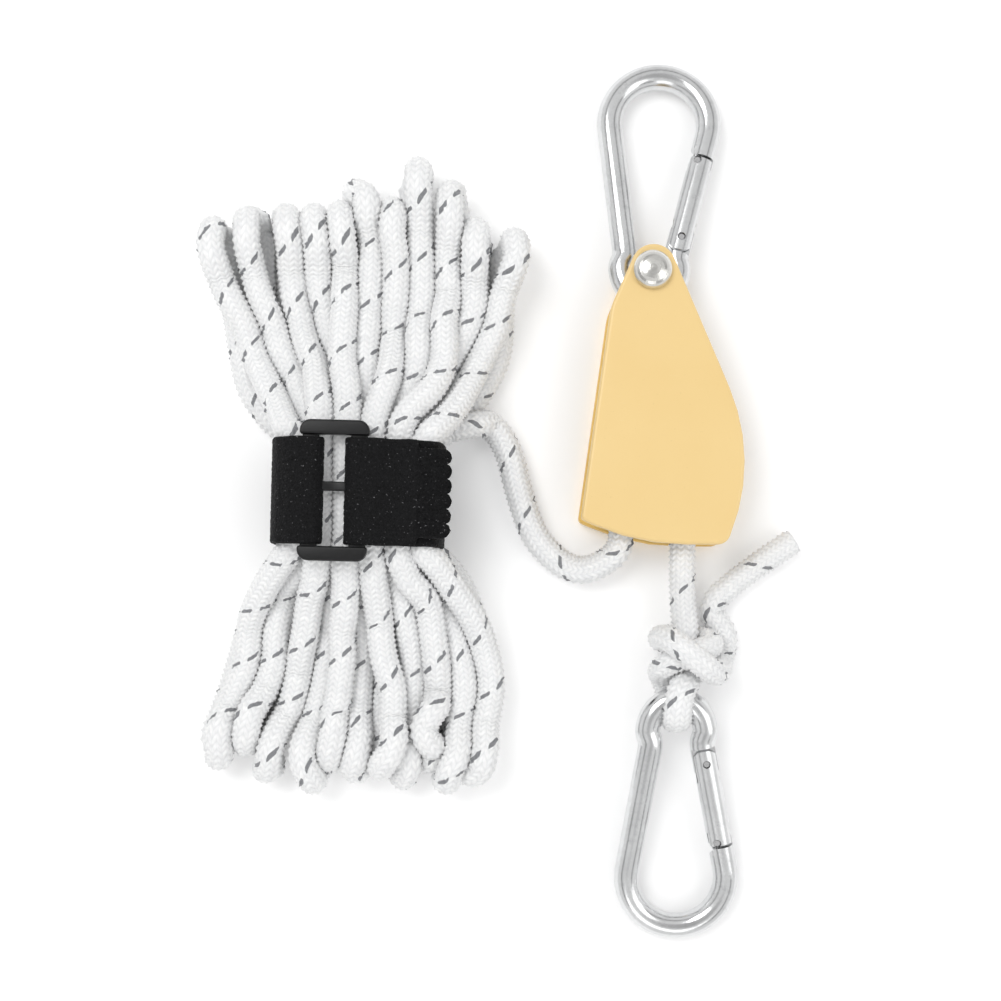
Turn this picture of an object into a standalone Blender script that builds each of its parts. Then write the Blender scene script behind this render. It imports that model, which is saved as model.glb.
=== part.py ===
"""Rope ratchet hoist laid flat: a two-cover ratchet block with a snap hook riveted in its top, a braided rope
run round the sheave inside it, a knotted eye that holds a second snap hook, and the spare rope bound into a hank
with a strap. Lengths below are millimetres; the scene is in metres. +Z is up, +Y runs from the block to the upper hook."""

import math

import bmesh
import bpy
import numpy as np
from mathutils import Matrix, Vector

for old in list(bpy.data.objects):
    bpy.data.objects.remove(old, do_unlink=True)

# ---------------------------------------------------------------- driving dimensions (mm)
FRAME_X, FRAME_Y = -0.355, 0.2  # shift that puts the origin under the middle of the block and hooks
GAP = 0.3  # clearance left between pieces that touch on the real object
RUN = 0.09  # radial clearance of a pin that turns in its hole

# stack of the block, up from the surface it lies on
COVER_T, COVER_RIM, COVER_WALL = 1.7, 3.3, 1.3
BLOCK_H = 16.2
PLATE_T, PLATE_IN = 1.2, 1.75
REAR_PLATE_Z = COVER_T + GAP
FRONT_PLATE_Z = BLOCK_H - COVER_T - GAP - PLATE_T
ROPE_D = 6.5
ROPE_R = ROPE_D / 2
ROPE_Z = 7.85  # middle of the rope where it runs through the block

# outline of a cover: corners of its tangent polygon, each with the radius that rounds it
COVER_CORNERS = (
    ((-1.77, 67.3), 5.3),  # crown over the top rivet
    ((-11.9, 44.8), 12.0),  # left shoulder
    ((-19.0, -5.2), 1.3),  # lower left corner
    ((-5.6, -11.08), 55.0),  # curved lower edge
    ((15.2, -11.1), 3.0),  # lower right corner
    ((23.2, 8.6), 45.0),  # bulge over the pawl
)
RIVET_X, RIVET_Y = -2.25, 53.1
RIVET_HEAD_R, RIVET_DOME, RIVET_R = 4.55, 2.8, 2.0

# rope path in the block and the ratchet
SHEAVE_X, SHEAVE_Y = -1.6, 11.8
SHEAVE_PITCH_R = 7.3
SHEAVE_FLANGE_R = 11.2
WHEEL_TIP_R, WHEEL_ROOT_R, WHEEL_TEETH, WHEEL_T = 14.0, 12.5, 24, 1.2
AXLE_R = 2.1
MOUTH_IN = (-8.9, -9.2)
LOAD_X = SHEAVE_X + SHEAVE_PITCH_R
LOAD_TOP_Y, KNOT_TOP_Y = 11.4, -31.0
PAWL_X, PAWL_Y, PAWL_PIN_R, PAWL_T = 14.9, 3.6, 1.2, 1.2

# snap hooks, 60 x 6
WIRE_D = 6.0
WIRE_R = WIRE_D / 2
EYE_R, EYE_LONG = 6.95, 8.2
BOW_R, BOW_V = 12.0, 35.55  # big end, and its distance from the eye's middle
LEG_DEG = 10.5
HINGE_V, LATCH_V = 7.1, 27.6
TONGUE_T, SLOT_W = 2.0, 2.7
KEY_T = 1.7
PIN_R = 0.85
UPPER_AT, UPPER_LEAN_DEG = (-2.155, 55.65), 4.3
LOWER_AT, LOWER_LEAN_DEG = (4.2, -56.0), -0.6

# rope laid out of the block, knot and hank
LEAD_LINE = (
    (-48.6, 18.7, 12.0), (-45.0, 19.5, 8.2), (-41.4, 18.8, 4.8), (-38.3, 16.1, 3.5), (-35.6, 10.7, 3.3),
    (-34.0, 4.5, 3.3), (-32.1, -2.1, 3.3), (-29.8, -7.9, 3.3), (-26.3, -12.5, 3.4), (-21.7, -16.0, 3.8),
    (-17.0, -16.8, 4.9), (-12.8, -14.9, 6.4), (-10.0, -12.6, 7.6), (-9.1, -10.4, 7.85),
)
TAIL_LINE = (
    (11.9, -30.2, 7.2), (13.6, -27.4, 6.4), (16.6, -23.3, 5.2), (21.3, -18.5, 4.0), (26.3, -14.4, 3.4),
    (31.7, -10.7, 3.3), (33.2, -9.9, 3.3),
)
KNOT_X, KNOT_Y, KNOT_Z = 7.4, -38.0, 9.0
HANK_X, HANK_LOW_Y, HANK_TOP_Y = -71.0, -71.5, 83.0
HANK_WAIST_Y, HANK_WAIST_W, HANK_WAIST_H = 0.5, 38.4, 22.8
STRAP_W, STRAP_T, STRAP_CUT = 25.0, 1.5, 9.0
BUCKLE_X, BUCKLE_Y = -75.9, 0.5
BUCKLE_L, BUCKLE_W, BUCKLE_T = 33.8, 17.2, 2.6

S = 0.001
COLLECTION = bpy.context.scene.collection


# ---------------------------------------------------------------- materials
def material(name, rgb, metallic=0.0, roughness=0.5):
    m = bpy.data.materials.new(name)
    m.use_nodes = True
    p = m.node_tree.nodes["Principled BSDF"]
    p.inputs["Base Color"].default_value = (*rgb, 1.0)
    p.inputs["Metallic"].default_value = metallic
    p.inputs["Roughness"].default_value = roughness
    return m


LOOKS = {
    "cover_paint": ((0.90, 0.60, 0.16), 0.0, 0.38),
    "plate_steel": ((0.52, 0.52, 0.50), 0.9, 0.38),
    "rivet_nickel": ((0.74, 0.74, 0.72), 1.0, 0.22),
    "wheel_zinc": ((0.60, 0.58, 0.52), 0.9, 0.35),
    "hook_zinc": ((0.70, 0.71, 0.72), 1.0, 0.24),
    "pin_steel": ((0.58, 0.58, 0.58), 1.0, 0.3),
    "spring_wire": ((0.45, 0.45, 0.46), 1.0, 0.3),
    "rope_braid": ((0.80, 0.80, 0.78), 0.0, 0.8),
    "strap_web": ((0.02, 0.02, 0.022), 0.0, 0.9),
    "buckle_plastic": ((0.015, 0.015, 0.016), 0.0, 0.4),
}


# ---------------------------------------------------------------- helpers
def finish(name, mesh, look, pivot=(0.0, 0.0, 0.0), smooth=35):
    """Adds a mesh given in millimetres as a node, its origin at pivot."""
    at = Vector(pivot)
    mesh.transform(Matrix.Translation(-at))
    mesh.transform(Matrix.Diagonal((S, S, S, 1.0)))
    mesh.name = name
    rgb, metallic, roughness = LOOKS[look]
    mesh.materials.clear()
    mesh.materials.append(material(look + "_" + name, rgb, metallic, roughness))
    mesh.shade_smooth()
    mesh.set_sharp_from_angle(angle=math.radians(smooth))
    node = bpy.data.objects.new(name, mesh)
    node.location = (at + Vector((FRAME_X, FRAME_Y, 0.0))) * S
    COLLECTION.objects.link(node)
    return node


def mesh_of(bm):
    bmesh.ops.recalc_face_normals(bm, faces=bm.faces)
    mesh = bpy.data.meshes.new("m")
    bm.to_mesh(mesh)
    bm.free()
    return mesh


def rounded(corners, inset=0.0, step_deg=7.0):
    """Points round a polygon whose corners are rounded, moved inwards by inset. Corners run anticlockwise."""
    pts = [Vector(c) for c, _ in corners]
    n = len(pts)
    lines = []
    for i in range(n):
        a, b = pts[i], pts[(i + 1) % n]
        d = (b - a).normalized()
        lines.append((a + Vector((-d.y, d.x)) * inset, d))
    out = []
    for i in range(n):
        (a, d), (b, e) = lines[i - 1], lines[i]
        cross = d.x * e.y - d.y * e.x
        corner = a + d * (((b - a).x * e.y - (b - a).y * e.x) / cross)
        radius = max(corners[i][1] - inset, 0.4)
        turn = math.atan2(cross, d.dot(e))
        reach = radius * math.tan(abs(turn) / 2)
        centre = corner - d * reach + Vector((-d.y, d.x)) * radius
        start = math.atan2((corner - d * reach - centre).y, (corner - d * reach - centre).x)
        count = max(3, round(math.degrees(abs(turn)) / step_deg))
        for k in range(count + 1):
            t = start + turn * k / count
            out.append(centre + Vector((math.cos(t), math.sin(t))) * radius)
    return out


def prism(points, z0, z1):
    bm = bmesh.new()
    low = [bm.verts.new((p[0], p[1], z0)) for p in points]
    face = bm.faces.new(low)
    up = bmesh.ops.extrude_face_region(bm, geom=[face])
    bmesh.ops.translate(bm, vec=(0, 0, z1 - z0), verts=[g for g in up["geom"] if isinstance(g, bmesh.types.BMVert)])
    return mesh_of(bm)


def lathe(profile, steps=40, at=(0.0, 0.0)):
    """A closed (radius, z) profile turned about Z."""
    bm = bmesh.new()
    verts = [bm.verts.new((r, 0, z)) for r, z in profile]
    edges = [bm.edges.new((verts[i], verts[(i + 1) % len(verts)])) for i in range(len(verts))]
    bmesh.ops.spin(
        bm, geom=verts + edges, cent=(0, 0, 0), axis=(0, 0, 1), dvec=(0, 0, 0), angle=2 * math.pi, steps=steps, use_duplicate=False
    )
    bmesh.ops.remove_doubles(bm, verts=bm.verts, dist=1e-4)
    loose = [f for f in bm.faces if f.calc_area() < 1e-9]
    bmesh.ops.delete(bm, geom=loose, context="FACES")
    bmesh.ops.translate(bm, vec=(*at, 0), verts=bm.verts)
    return mesh_of(bm)


def rod(radius, z0, z1, at, steps=32):
    return lathe([(0, z0), (radius, z0), (radius, z1), (0, z1)], steps, at)


def box(low, high):
    bm = bmesh.new()
    bmesh.ops.create_cube(bm, size=1)
    size = Vector(high) - Vector(low)
    bmesh.ops.scale(bm, vec=size, verts=bm.verts)
    bmesh.ops.translate(bm, vec=(Vector(high) + Vector(low)) / 2, verts=bm.verts)
    return mesh_of(bm)


def smooth_line(points, step):
    """Points every step along a smooth curve through the given ones."""
    p = np.array(points, float)
    p = np.vstack([2 * p[0] - p[1], p, 2 * p[-1] - p[-2]])
    fine = []
    for i in range(1, len(p) - 2):
        for t in np.linspace(0, 1, 24, endpoint=False):
            a, b, c, d = p[i - 1], p[i], p[i + 1], p[i + 2]
            fine.append(0.5 * (2 * b + (c - a) * t + (2 * a - 5 * b + 4 * c - d) * t**2 + (3 * b - a - 3 * c + d) * t**3))
    fine = np.array(fine + [p[-2]])
    along = np.concatenate([[0], np.cumsum(np.linalg.norm(np.diff(fine, axis=0), axis=1))])
    count = max(2, int(round(along[-1] / step)) + 1)
    at = np.linspace(0, along[-1], count)
    return np.stack([np.interp(at, along, fine[:, k]) for k in range(3)], axis=1)


def tube(points, radius, resolution=3, radii=None):
    """The mesh of a curve with a round bevel through these points, its ends closed."""
    curve = bpy.data.curves.new("c", "CURVE")
    curve.dimensions = "3D"
    curve.bevel_depth = radius
    curve.bevel_resolution = resolution
    curve.use_fill_caps = True
    curve.twist_mode = "MINIMUM"
    spline = curve.splines.new("POLY")
    spline.points.add(len(points) - 1)
    for k, (q, p) in enumerate(zip(spline.points, points)):
        q.co = (*p, 1.0)
        q.radius = 1.0 if radii is None else radii[k]
    holder = bpy.data.objects.new("c", curve)
    COLLECTION.objects.link(holder)
    graph = bpy.context.evaluated_depsgraph_get()
    mesh = bpy.data.meshes.new_from_object(holder.evaluated_get(graph), depsgraph=graph)
    bpy.data.objects.remove(holder, do_unlink=True)
    bm = bmesh.new()
    bm.from_mesh(mesh)
    bmesh.ops.remove_doubles(bm, verts=bm.verts, dist=1e-4)
    return mesh_of(bm)


def modelled(mesh, booleans=(), bevel=None, bevel_steps=2, angle=30):
    """The mesh after its Boolean and Bevel modifiers. booleans holds (operation, cutter mesh)."""
    subject = bpy.data.objects.new("s", mesh)
    COLLECTION.objects.link(subject)
    cutters = []
    for operation, cutter in booleans:
        c = bpy.data.objects.new("cutter", cutter)
        c.hide_render = True
        c.display_type = "WIRE"
        COLLECTION.objects.link(c)
        cutters.append(c)
        m = subject.modifiers.new("bool", "BOOLEAN")
        m.operation, m.solver, m.object = operation, "EXACT", c
    if bevel:
        m = subject.modifiers.new("bevel", "BEVEL")
        m.width, m.segments, m.limit_method, m.angle_limit = bevel, bevel_steps, "ANGLE", math.radians(angle)
        m.harden_normals = False
    bpy.context.view_layer.update()
    graph = bpy.context.evaluated_depsgraph_get()
    made = bpy.data.meshes.new_from_object(subject.evaluated_get(graph), depsgraph=graph)
    for o in [subject, *cutters]:
        bpy.data.objects.remove(o, do_unlink=True)
    return made


def moved(mesh, matrix):
    mesh.transform(matrix)
    return mesh


# ---------------------------------------------------------------- covers and frame plates
def cover(front):
    """A shallow tray with a thin rounded edge, open towards the other cover."""
    outer = prism(rounded(COVER_CORNERS), 0.0, COVER_RIM)
    outer = modelled(outer, bevel=0.8, bevel_steps=3, angle=50)
    inner = prism(rounded(COVER_CORNERS, COVER_WALL), COVER_T, COVER_RIM + 4)
    cuts = [("DIFFERENCE", inner), ("DIFFERENCE", rod(RIVET_R + RUN, -5, 8, (RIVET_X, RIVET_Y), 28))]
    if not front:
        cuts.append(("DIFFERENCE", rod(4.1, -5, 1.2, (RIVET_X, RIVET_Y), 32)))
    made = modelled(outer, cuts)
    if front:
        made = moved(made, Matrix.Translation((0, 0, BLOCK_H)) @ Matrix.Diagonal((1, 1, -1, 1)))
        bm = bmesh.new()
        bm.from_mesh(made)
        made = mesh_of(bm)
    return made


finish("front_cover", cover(True), "cover_paint")
finish("rear_cover", cover(False), "cover_paint")

POSTS = ((-14.3, -2.4), (11.6, -6.2))
POST_R = 1.9


def frame_plate(z0):
    plate = prism(rounded(COVER_CORNERS, PLATE_IN), z0, z0 + PLATE_T)
    holes = [(RIVET_X, RIVET_Y, RIVET_R + RUN), (SHEAVE_X, SHEAVE_Y, AXLE_R + RUN), (PAWL_X, PAWL_Y, PAWL_PIN_R + RUN)]
    return modelled(plate, [("DIFFERENCE", rod(r, z0 - 3, z0 + 4, (x, y), 24)) for x, y, r in holes])


finish("front_frame_plate", frame_plate(FRONT_PLATE_Z), "plate_steel")
finish("rear_frame_plate", frame_plate(REAR_PLATE_Z), "plate_steel")

# ---------------------------------------------------------------- rivets, axle and posts
dome = []
for k in range(9):
    t = math.radians(90 * k / 8)
    dome.append((RIVET_HEAD_R * math.cos(t), BLOCK_H + GAP + 0.5 + (RIVET_DOME - 0.5) * math.sin(t)))
finish(
    "top_rivet",
    lathe(
        [(0, 0.3), (3.6, 0.3), (3.6, 0.9), (RIVET_R, 0.9), (RIVET_R, BLOCK_H + GAP), (RIVET_HEAD_R - 0.25, BLOCK_H + GAP)] + dome,
        36,
        (RIVET_X, RIVET_Y),
    ),
    "rivet_nickel",
    smooth=40,
)
LOW_Z, HIGH_Z = REAR_PLATE_Z + PLATE_T + GAP, FRONT_PLATE_Z - GAP
finish("sheave_axle", rod(AXLE_R, COVER_T + GAP, BLOCK_H - COVER_T - GAP, (SHEAVE_X, SHEAVE_Y), 28), "pin_steel")
finish("pawl_pin", rod(PAWL_PIN_R, COVER_T + GAP, BLOCK_H - COVER_T - GAP, (PAWL_X, PAWL_Y), 24), "pin_steel")
for side, at in zip(("left", "right"), POSTS):
    finish(
        f"spacer_post_{side}",
        lathe([(0, LOW_Z), (POST_R, LOW_Z), (POST_R - 0.3, LOW_Z + 0.5), (POST_R - 0.3, HIGH_Z - 0.5), (POST_R, HIGH_Z), (0, HIGH_Z)], 24, at),
        "plate_steel",
    )

# ---------------------------------------------------------------- sheave, ratchet wheel and pawl
PIVOT = (SHEAVE_X, SHEAVE_Y, 0.0)
WHEEL_Z = HIGH_Z - 0.1 - WHEEL_T
bore = AXLE_R + RUN
groove = []
for k in range(9):
    t = math.radians(-62 + 124 * k / 8)
    r = ROPE_R + GAP
    groove.append((SHEAVE_PITCH_R - r * math.cos(t), ROPE_Z + r * math.sin(t)))
flange_z0 = LOW_Z
sheave_top = WHEEL_Z - GAP
finish(
    "sheave",
    lathe(
        [(bore, flange_z0), (SHEAVE_FLANGE_R, flange_z0), (SHEAVE_FLANGE_R, flange_z0 + 0.5), (SHEAVE_PITCH_R + 0.6, ROPE_Z - ROPE_R - GAP - 0.05)]
        + groove
        + [(SHEAVE_PITCH_R - 2.0, sheave_top), (bore, sheave_top)],
        48,
        (SHEAVE_X, SHEAVE_Y),
    ),
    "wheel_zinc",
    pivot=PIVOT,
)
teeth = []
for k in range(WHEEL_TEETH):
    a = 2 * math.pi * k / WHEEL_TEETH
    p = 2 * math.pi / WHEEL_TEETH
    for r, f in ((WHEEL_ROOT_R, 0.0), (WHEEL_ROOT_R, 0.16), (WHEEL_TIP_R - 0.1, 0.86), (WHEEL_TIP_R, 0.94)):
        teeth.append((SHEAVE_X + r * math.cos(a + f * p), SHEAVE_Y + r * math.sin(a + f * p)))
finish(
    "ratchet_wheel",
    modelled(prism(teeth, WHEEL_Z, WHEEL_Z + WHEEL_T), [("DIFFERENCE", rod(bore, 0, 20, (SHEAVE_X, SHEAVE_Y), 32))]),
    "wheel_zinc",
    pivot=PIVOT,
)

# The pawl stands on its pin beside the wheel; its nose points into the teeth and its tail is the thumb release.
nose = math.radians(-2.0)
tip = WHEEL_TIP_R + 0.35
nose_at = (SHEAVE_X + tip * math.cos(nose), SHEAVE_Y + tip * math.sin(nose))
pawl_outline = [
    (nose_at[0], nose_at[1]),
    (nose_at[0] + 0.25, nose_at[1] - 2.2),
    (PAWL_X - 2.35, PAWL_Y + 1.6),
    (PAWL_X - 2.5, PAWL_Y - 0.8),
    (PAWL_X - 1.2, PAWL_Y - 3.0),
    (PAWL_X - 0.4, PAWL_Y - 7.2),
    (PAWL_X + 1.2, PAWL_Y - 7.8),
    (PAWL_X + 2.1, PAWL_Y - 6.6),
    (PAWL_X + 2.1, PAWL_Y - 2.0),
    (PAWL_X + 2.5, PAWL_Y + 0.6),
    (PAWL_X + 1.6, PAWL_Y + 3.2),
    (nose_at[0] + 2.6, nose_at[1] - 0.8),
    (nose_at[0] + 1.2, nose_at[1] + 0.5),
]
finish(
    "ratchet_pawl",
    modelled(
        prism(pawl_outline[::-1], WHEEL_Z, WHEEL_Z + PAWL_T),
        [
            ("DIFFERENCE", rod(PAWL_PIN_R + RUN, 0, 20, (PAWL_X, PAWL_Y), 24)),
        ],
    ),
    "wheel_zinc",
    pivot=(PAWL_X, PAWL_Y, 0.0),
)
# the release tab stands down from the pawl's tail across the open side, where a thumb reaches it
finish(
    "release_tab",
    modelled(box((PAWL_X + 0.5, PAWL_Y - 7.3, LOW_Z + 0.4), (PAWL_X + 1.9, PAWL_Y - 2.6, WHEEL_Z - GAP)), bevel=0.35, bevel_steps=2),
    "wheel_zinc",
    pivot=(PAWL_X, PAWL_Y, 0.0),
)
coil = []
SPRING_R, SPRING_WIRE = 2.1, 0.35
for k in range(61):
    t = 2 * math.pi * k / 16
    coil.append((PAWL_X + SPRING_R * math.cos(t), PAWL_Y + SPRING_R * math.sin(t), 5.6 + 3.6 * k / 60))
coil = [(PAWL_X + SPRING_R + 0.25, PAWL_Y - 5.0, 5.6), (PAWL_X + SPRING_R + 0.2, PAWL_Y - 2.5, 5.6)] + coil
finish("pawl_spring", tube(coil, SPRING_WIRE, 1), "spring_wire")


# ---------------------------------------------------------------- snap hooks
def hook_line():
    """Middle of the hook's wire: from the nose round the big end, down the plain leg and round the eye to the hinge."""
    s, c = math.sin(math.radians(LEG_DEG)), math.cos(math.radians(LEG_DEG))
    line = []
    turn = (BOW_R * c, BOW_V - BOW_R * s)
    nose_v = LATCH_V - 2.6
    line.append((turn[0] - (turn[1] - nose_v) * s / c, nose_v))
    for k in range(27):
        t = math.radians(-LEG_DEG + (180 + 2 * LEG_DEG) * k / 26)
        line.append((BOW_R * math.cos(t), BOW_V + BOW_R * math.sin(t)))
    kink_v = 3.1
    kink_x = turn[0] - (turn[1] - kink_v) * s / c
    for k in range(1, 5):
        v = turn[1] + (kink_v - turn[1]) * k / 4
        line.append((-(turn[0] - (turn[1] - v) * s / c), v))
    line.append((-(kink_x + 0.02), 1.7))
    for k in range(23):
        t = math.radians(181 + 178 * k / 22)
        line.append((EYE_R * math.cos(t), EYE_LONG * math.sin(t)))
    line.append((kink_x + 0.02, 1.7))
    line.append((kink_x, kink_v))
    end_v = HINGE_V + 2.5
    line.append((turn[0] - (turn[1] - end_v) * s / c, end_v))
    return [(x, v, 0.0) for x, v in line]


def leg_x(v):
    s = math.tan(math.radians(LEG_DEG))
    turn = (BOW_R * math.cos(math.radians(LEG_DEG)), BOW_V - BOW_R * math.sin(math.radians(LEG_DEG)))
    return turn[0] - (turn[1] - v) * s


def along_leg(v):
    """Turns and moves a mesh made along +Y at the origin onto the gate's leg, its origin at height v."""
    return Matrix.Translation((leg_x(v), v, 0)) @ Matrix.Rotation(math.radians(-LEG_DEG), 4, "Z")


def hook_body():
    wire = tube(hook_line(), WIRE_R, 4)
    hinge, latch = along_leg(HINGE_V), along_leg(LATCH_V)
    cuts = []
    for z0, z1 in ((TONGUE_T / 2, 8), (-8, -TONGUE_T / 2)):
        cuts.append(("DIFFERENCE", moved(box((-6, -3.75, z0), (6, 8, z1)), hinge)))
    for z0, z1 in ((KEY_T / 2, 8), (-8, -KEY_T / 2)):
        cuts.append(("DIFFERENCE", moved(box((-6, -8, z0), (6, 0, z1)), latch)))
    cuts.append(("DIFFERENCE", moved(rod(PIN_R + RUN, -9, 9, (0, 0), 20), hinge)))
    # the notch on the nose's inner side, which the gate's cross pin closes into
    cuts.append(("DIFFERENCE", moved(rod(PIN_R + 0.45, -9, 9, (-0.9, -1.35), 20), latch)))
    cuts.append(("DIFFERENCE", moved(box((-6, -1.35 - PIN_R - 0.45, -9), (-0.9, -1.35 + PIN_R + 0.45, 9)), latch)))
    cuts.append(("DIFFERENCE", moved(box((-6, -8, -9), (-1.6, -1.35, 9)), latch)))
    return modelled(wire, cuts)


GATE_R = WIRE_R - 0.05


def gate():
    length = (LATCH_V - HINGE_V) / math.cos(math.radians(LEG_DEG)) - 0.42
    bar = lathe([(0, -3.4), (GATE_R, -3.4), (GATE_R, length - 0.35), (GATE_R - 0.35, length), (0, length)], 20)
    bar = moved(bar, Matrix.Rotation(math.radians(-90), 4, "X"))
    side = [(GATE_R + 1, 0.0)]
    for k in range(11):
        t = math.radians(-180 * k / 10)
        side.append((3.3 * math.cos(t), 3.3 * math.sin(t)))
    side += [(-GATE_R - 1, 0.0), (-GATE_R - 1, length + 2), (GATE_R + 1, length + 2)]
    side = prism(side[::-1], -5, 5)
    cuts = [("INTERSECT", side)]
    cuts.append(("DIFFERENCE", box((-6, -6, -SLOT_W / 2), (6, 4.4, SLOT_W / 2))))
    cuts.append(("DIFFERENCE", box((-6, length - 3.4, -SLOT_W / 2), (6, length + 3, SLOT_W / 2))))
    cuts.append(("DIFFERENCE", rod(PIN_R + RUN, -9, 9, (0, 0), 20)))
    cuts.append(("DIFFERENCE", rod(PIN_R + RUN, -9, 9, latch_pin_local(), 20)))
    return modelled(bar, cuts)


def latch_pin_local():
    """The cross pin's middle, in the gate's own frame with the hinge at its origin."""
    length = (LATCH_V - HINGE_V) / math.cos(math.radians(LEG_DEG))
    return (-0.9, length - 1.35)


def pin(at):
    h = WIRE_R - 0.35
    return lathe([(0, -h), (PIN_R - 0.2, -h), (PIN_R, -h + 0.2), (PIN_R, h - 0.2), (PIN_R - 0.2, h), (0, h)], 20, at)


def hook_frame(at, lean_deg, low_end_up, eye_z, bow_z):
    """From the hook's own plane, eye at its origin and big end towards +Y, to where it lies."""
    reach = BOW_V + BOW_R
    tilt = math.asin((bow_z - eye_z) / reach)
    turn = math.radians(-lean_deg) + (0 if low_end_up else math.pi)
    return Matrix.Translation((at[0], at[1], eye_z)) @ Matrix.Rotation(turn, 4, "Z") @ Matrix.Rotation(tilt, 4, "X")


def snap_hook(which, place, pivot):
    hinge = along_leg(HINGE_V)
    mirror = Matrix.Identity(4) if which == "upper" else Matrix.Diagonal((-1, 1, 1, 1))

    def settle(mesh):
        mesh = moved(mesh, place @ mirror)
        bm = bmesh.new()
        bm.from_mesh(mesh)
        return mesh_of(bm)

    joint = place @ mirror @ hinge @ Vector((0, 0, 0))
    finish(f"{which}_hook_body", settle(hook_body()), "hook_zinc", pivot, smooth=40)
    finish(f"{which}_gate", settle(moved(gate(), hinge)), "hook_zinc", joint, smooth=40)
    finish(f"{which}_gate_hinge_pin", settle(moved(pin((0, 0)), hinge)), "pin_steel", pivot)
    finish(f"{which}_gate_latch_pin", settle(moved(pin(latch_pin_local()), hinge)), "pin_steel", joint)
    axis = (place @ mirror).to_3x3() @ Vector((0, 0, 1))
    print("JOINT", which, [round((c + f) / 1000, 6) for c, f in zip(joint, (FRAME_X, FRAME_Y, 0))], [round(a, 6) for a in axis])


UPPER = hook_frame(UPPER_AT, UPPER_LEAN_DEG, True, 8.3, WIRE_R)
LOWER = hook_frame(LOWER_AT, LOWER_LEAN_DEG, False, 8.9, WIRE_R)
snap_hook("upper", UPPER, (RIVET_X, RIVET_Y, 8.3))
eye_wire = LOWER @ Vector((0, -EYE_LONG, 0))
snap_hook("lower", LOWER, eye_wire)

# ---------------------------------------------------------------- rope
lead = smooth_line(LEAD_LINE, 3.0)
finish("rope_lead", tube(lead, ROPE_R, 3), "rope_braid")

bend = [(MOUTH_IN[0], MOUTH_IN[1] + GAP, ROPE_Z), (SHEAVE_X - SHEAVE_PITCH_R, SHEAVE_Y - 8, ROPE_Z)]
for k in range(19):
    t = math.radians(180 - 180 * k / 18)
    bend.append((SHEAVE_X + SHEAVE_PITCH_R * math.cos(t), SHEAVE_Y + SHEAVE_PITCH_R * math.sin(t), ROPE_Z))
finish("rope_in_block", tube(bend, ROPE_R, 3), "rope_braid")

finish(
    "rope_load_line",
    tube([(LOAD_X, LOAD_TOP_Y, ROPE_Z), (LOAD_X, -10.0, ROPE_Z), (LOAD_X, KNOT_TOP_Y + GAP, ROPE_Z)], ROPE_R, 3),
    "rope_braid",
)
finish("rope_tail", tube(smooth_line(TAIL_LINE, 3.0), ROPE_R, 3), "rope_braid")


def knot():
    """The tightened knot as one lump with the ridges of its crossing strands."""
    ridges = [
        [(-5.6, 5.2, -2.6), (-7.0, 0.2, -1.2), (-5.4, -5.0, 0.5)],
        [(-7.0, 4.4, 2.4), (-1.0, 1.6, 5.0), (5.6, -4.2, 2.6)],
        [(-4.0, -1.6, 3.2), (1.0, -4.4, 4.2), (6.6, -5.4, 0.4)],
        [(-2.4, 5.8, 2.4), (3.6, 3.4, 3.9), (7.0, 0.2, 1.0)],
        [(5.6, 5.0, -1.0), (7.4, 0.0, -2.4), (5.2, -5.2, -3.4)],
    ]
    bm = bmesh.new()
    bmesh.ops.create_uvsphere(bm, u_segments=20, v_segments=12, radius=1.0)
    bmesh.ops.scale(bm, vec=(9.0, 7.6, 7.4), verts=bm.verts)
    core = mesh_of(bm)
    made = modelled(core, [("UNION", tube(smooth_line(r, 2.6), ROPE_R - 0.1 + 0.05 * k, 2)) for k, r in enumerate(ridges)])
    return moved(made, Matrix.Translation((KNOT_X, KNOT_Y, KNOT_Z)) @ Matrix.Diagonal((1, 0.84, 1, 1)))


finish("rope_knot", knot(), "rope_braid", smooth=60)

# the eye below the knot, a single strand that goes over the hook's wire, through its eye and back underneath
EYE_ROPE_R = 2.5
loop_r = WIRE_R + EYE_ROPE_R + GAP
top = [(eye_wire.x + 0.8, eye_wire.y + 4.0, eye_wire.z + loop_r), (eye_wire.x + 0.3, eye_wire.y + 2.0, eye_wire.z + loop_r)]
arc = []
for k in range(13):
    t = math.radians(90 + 180 * k / 12)
    arc.append((eye_wire.x, eye_wire.y + loop_r * math.cos(t), eye_wire.z + loop_r * math.sin(t)))
bottom = [(eye_wire.x + 0.3, eye_wire.y + 2.0, eye_wire.z - loop_r), (eye_wire.x + 0.8, eye_wire.y + 4.0, eye_wire.z - loop_r)]
finish("rope_eye", tube(smooth_line(top + arc + bottom, 2.0), EYE_ROPE_R, 3), "rope_braid")


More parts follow.
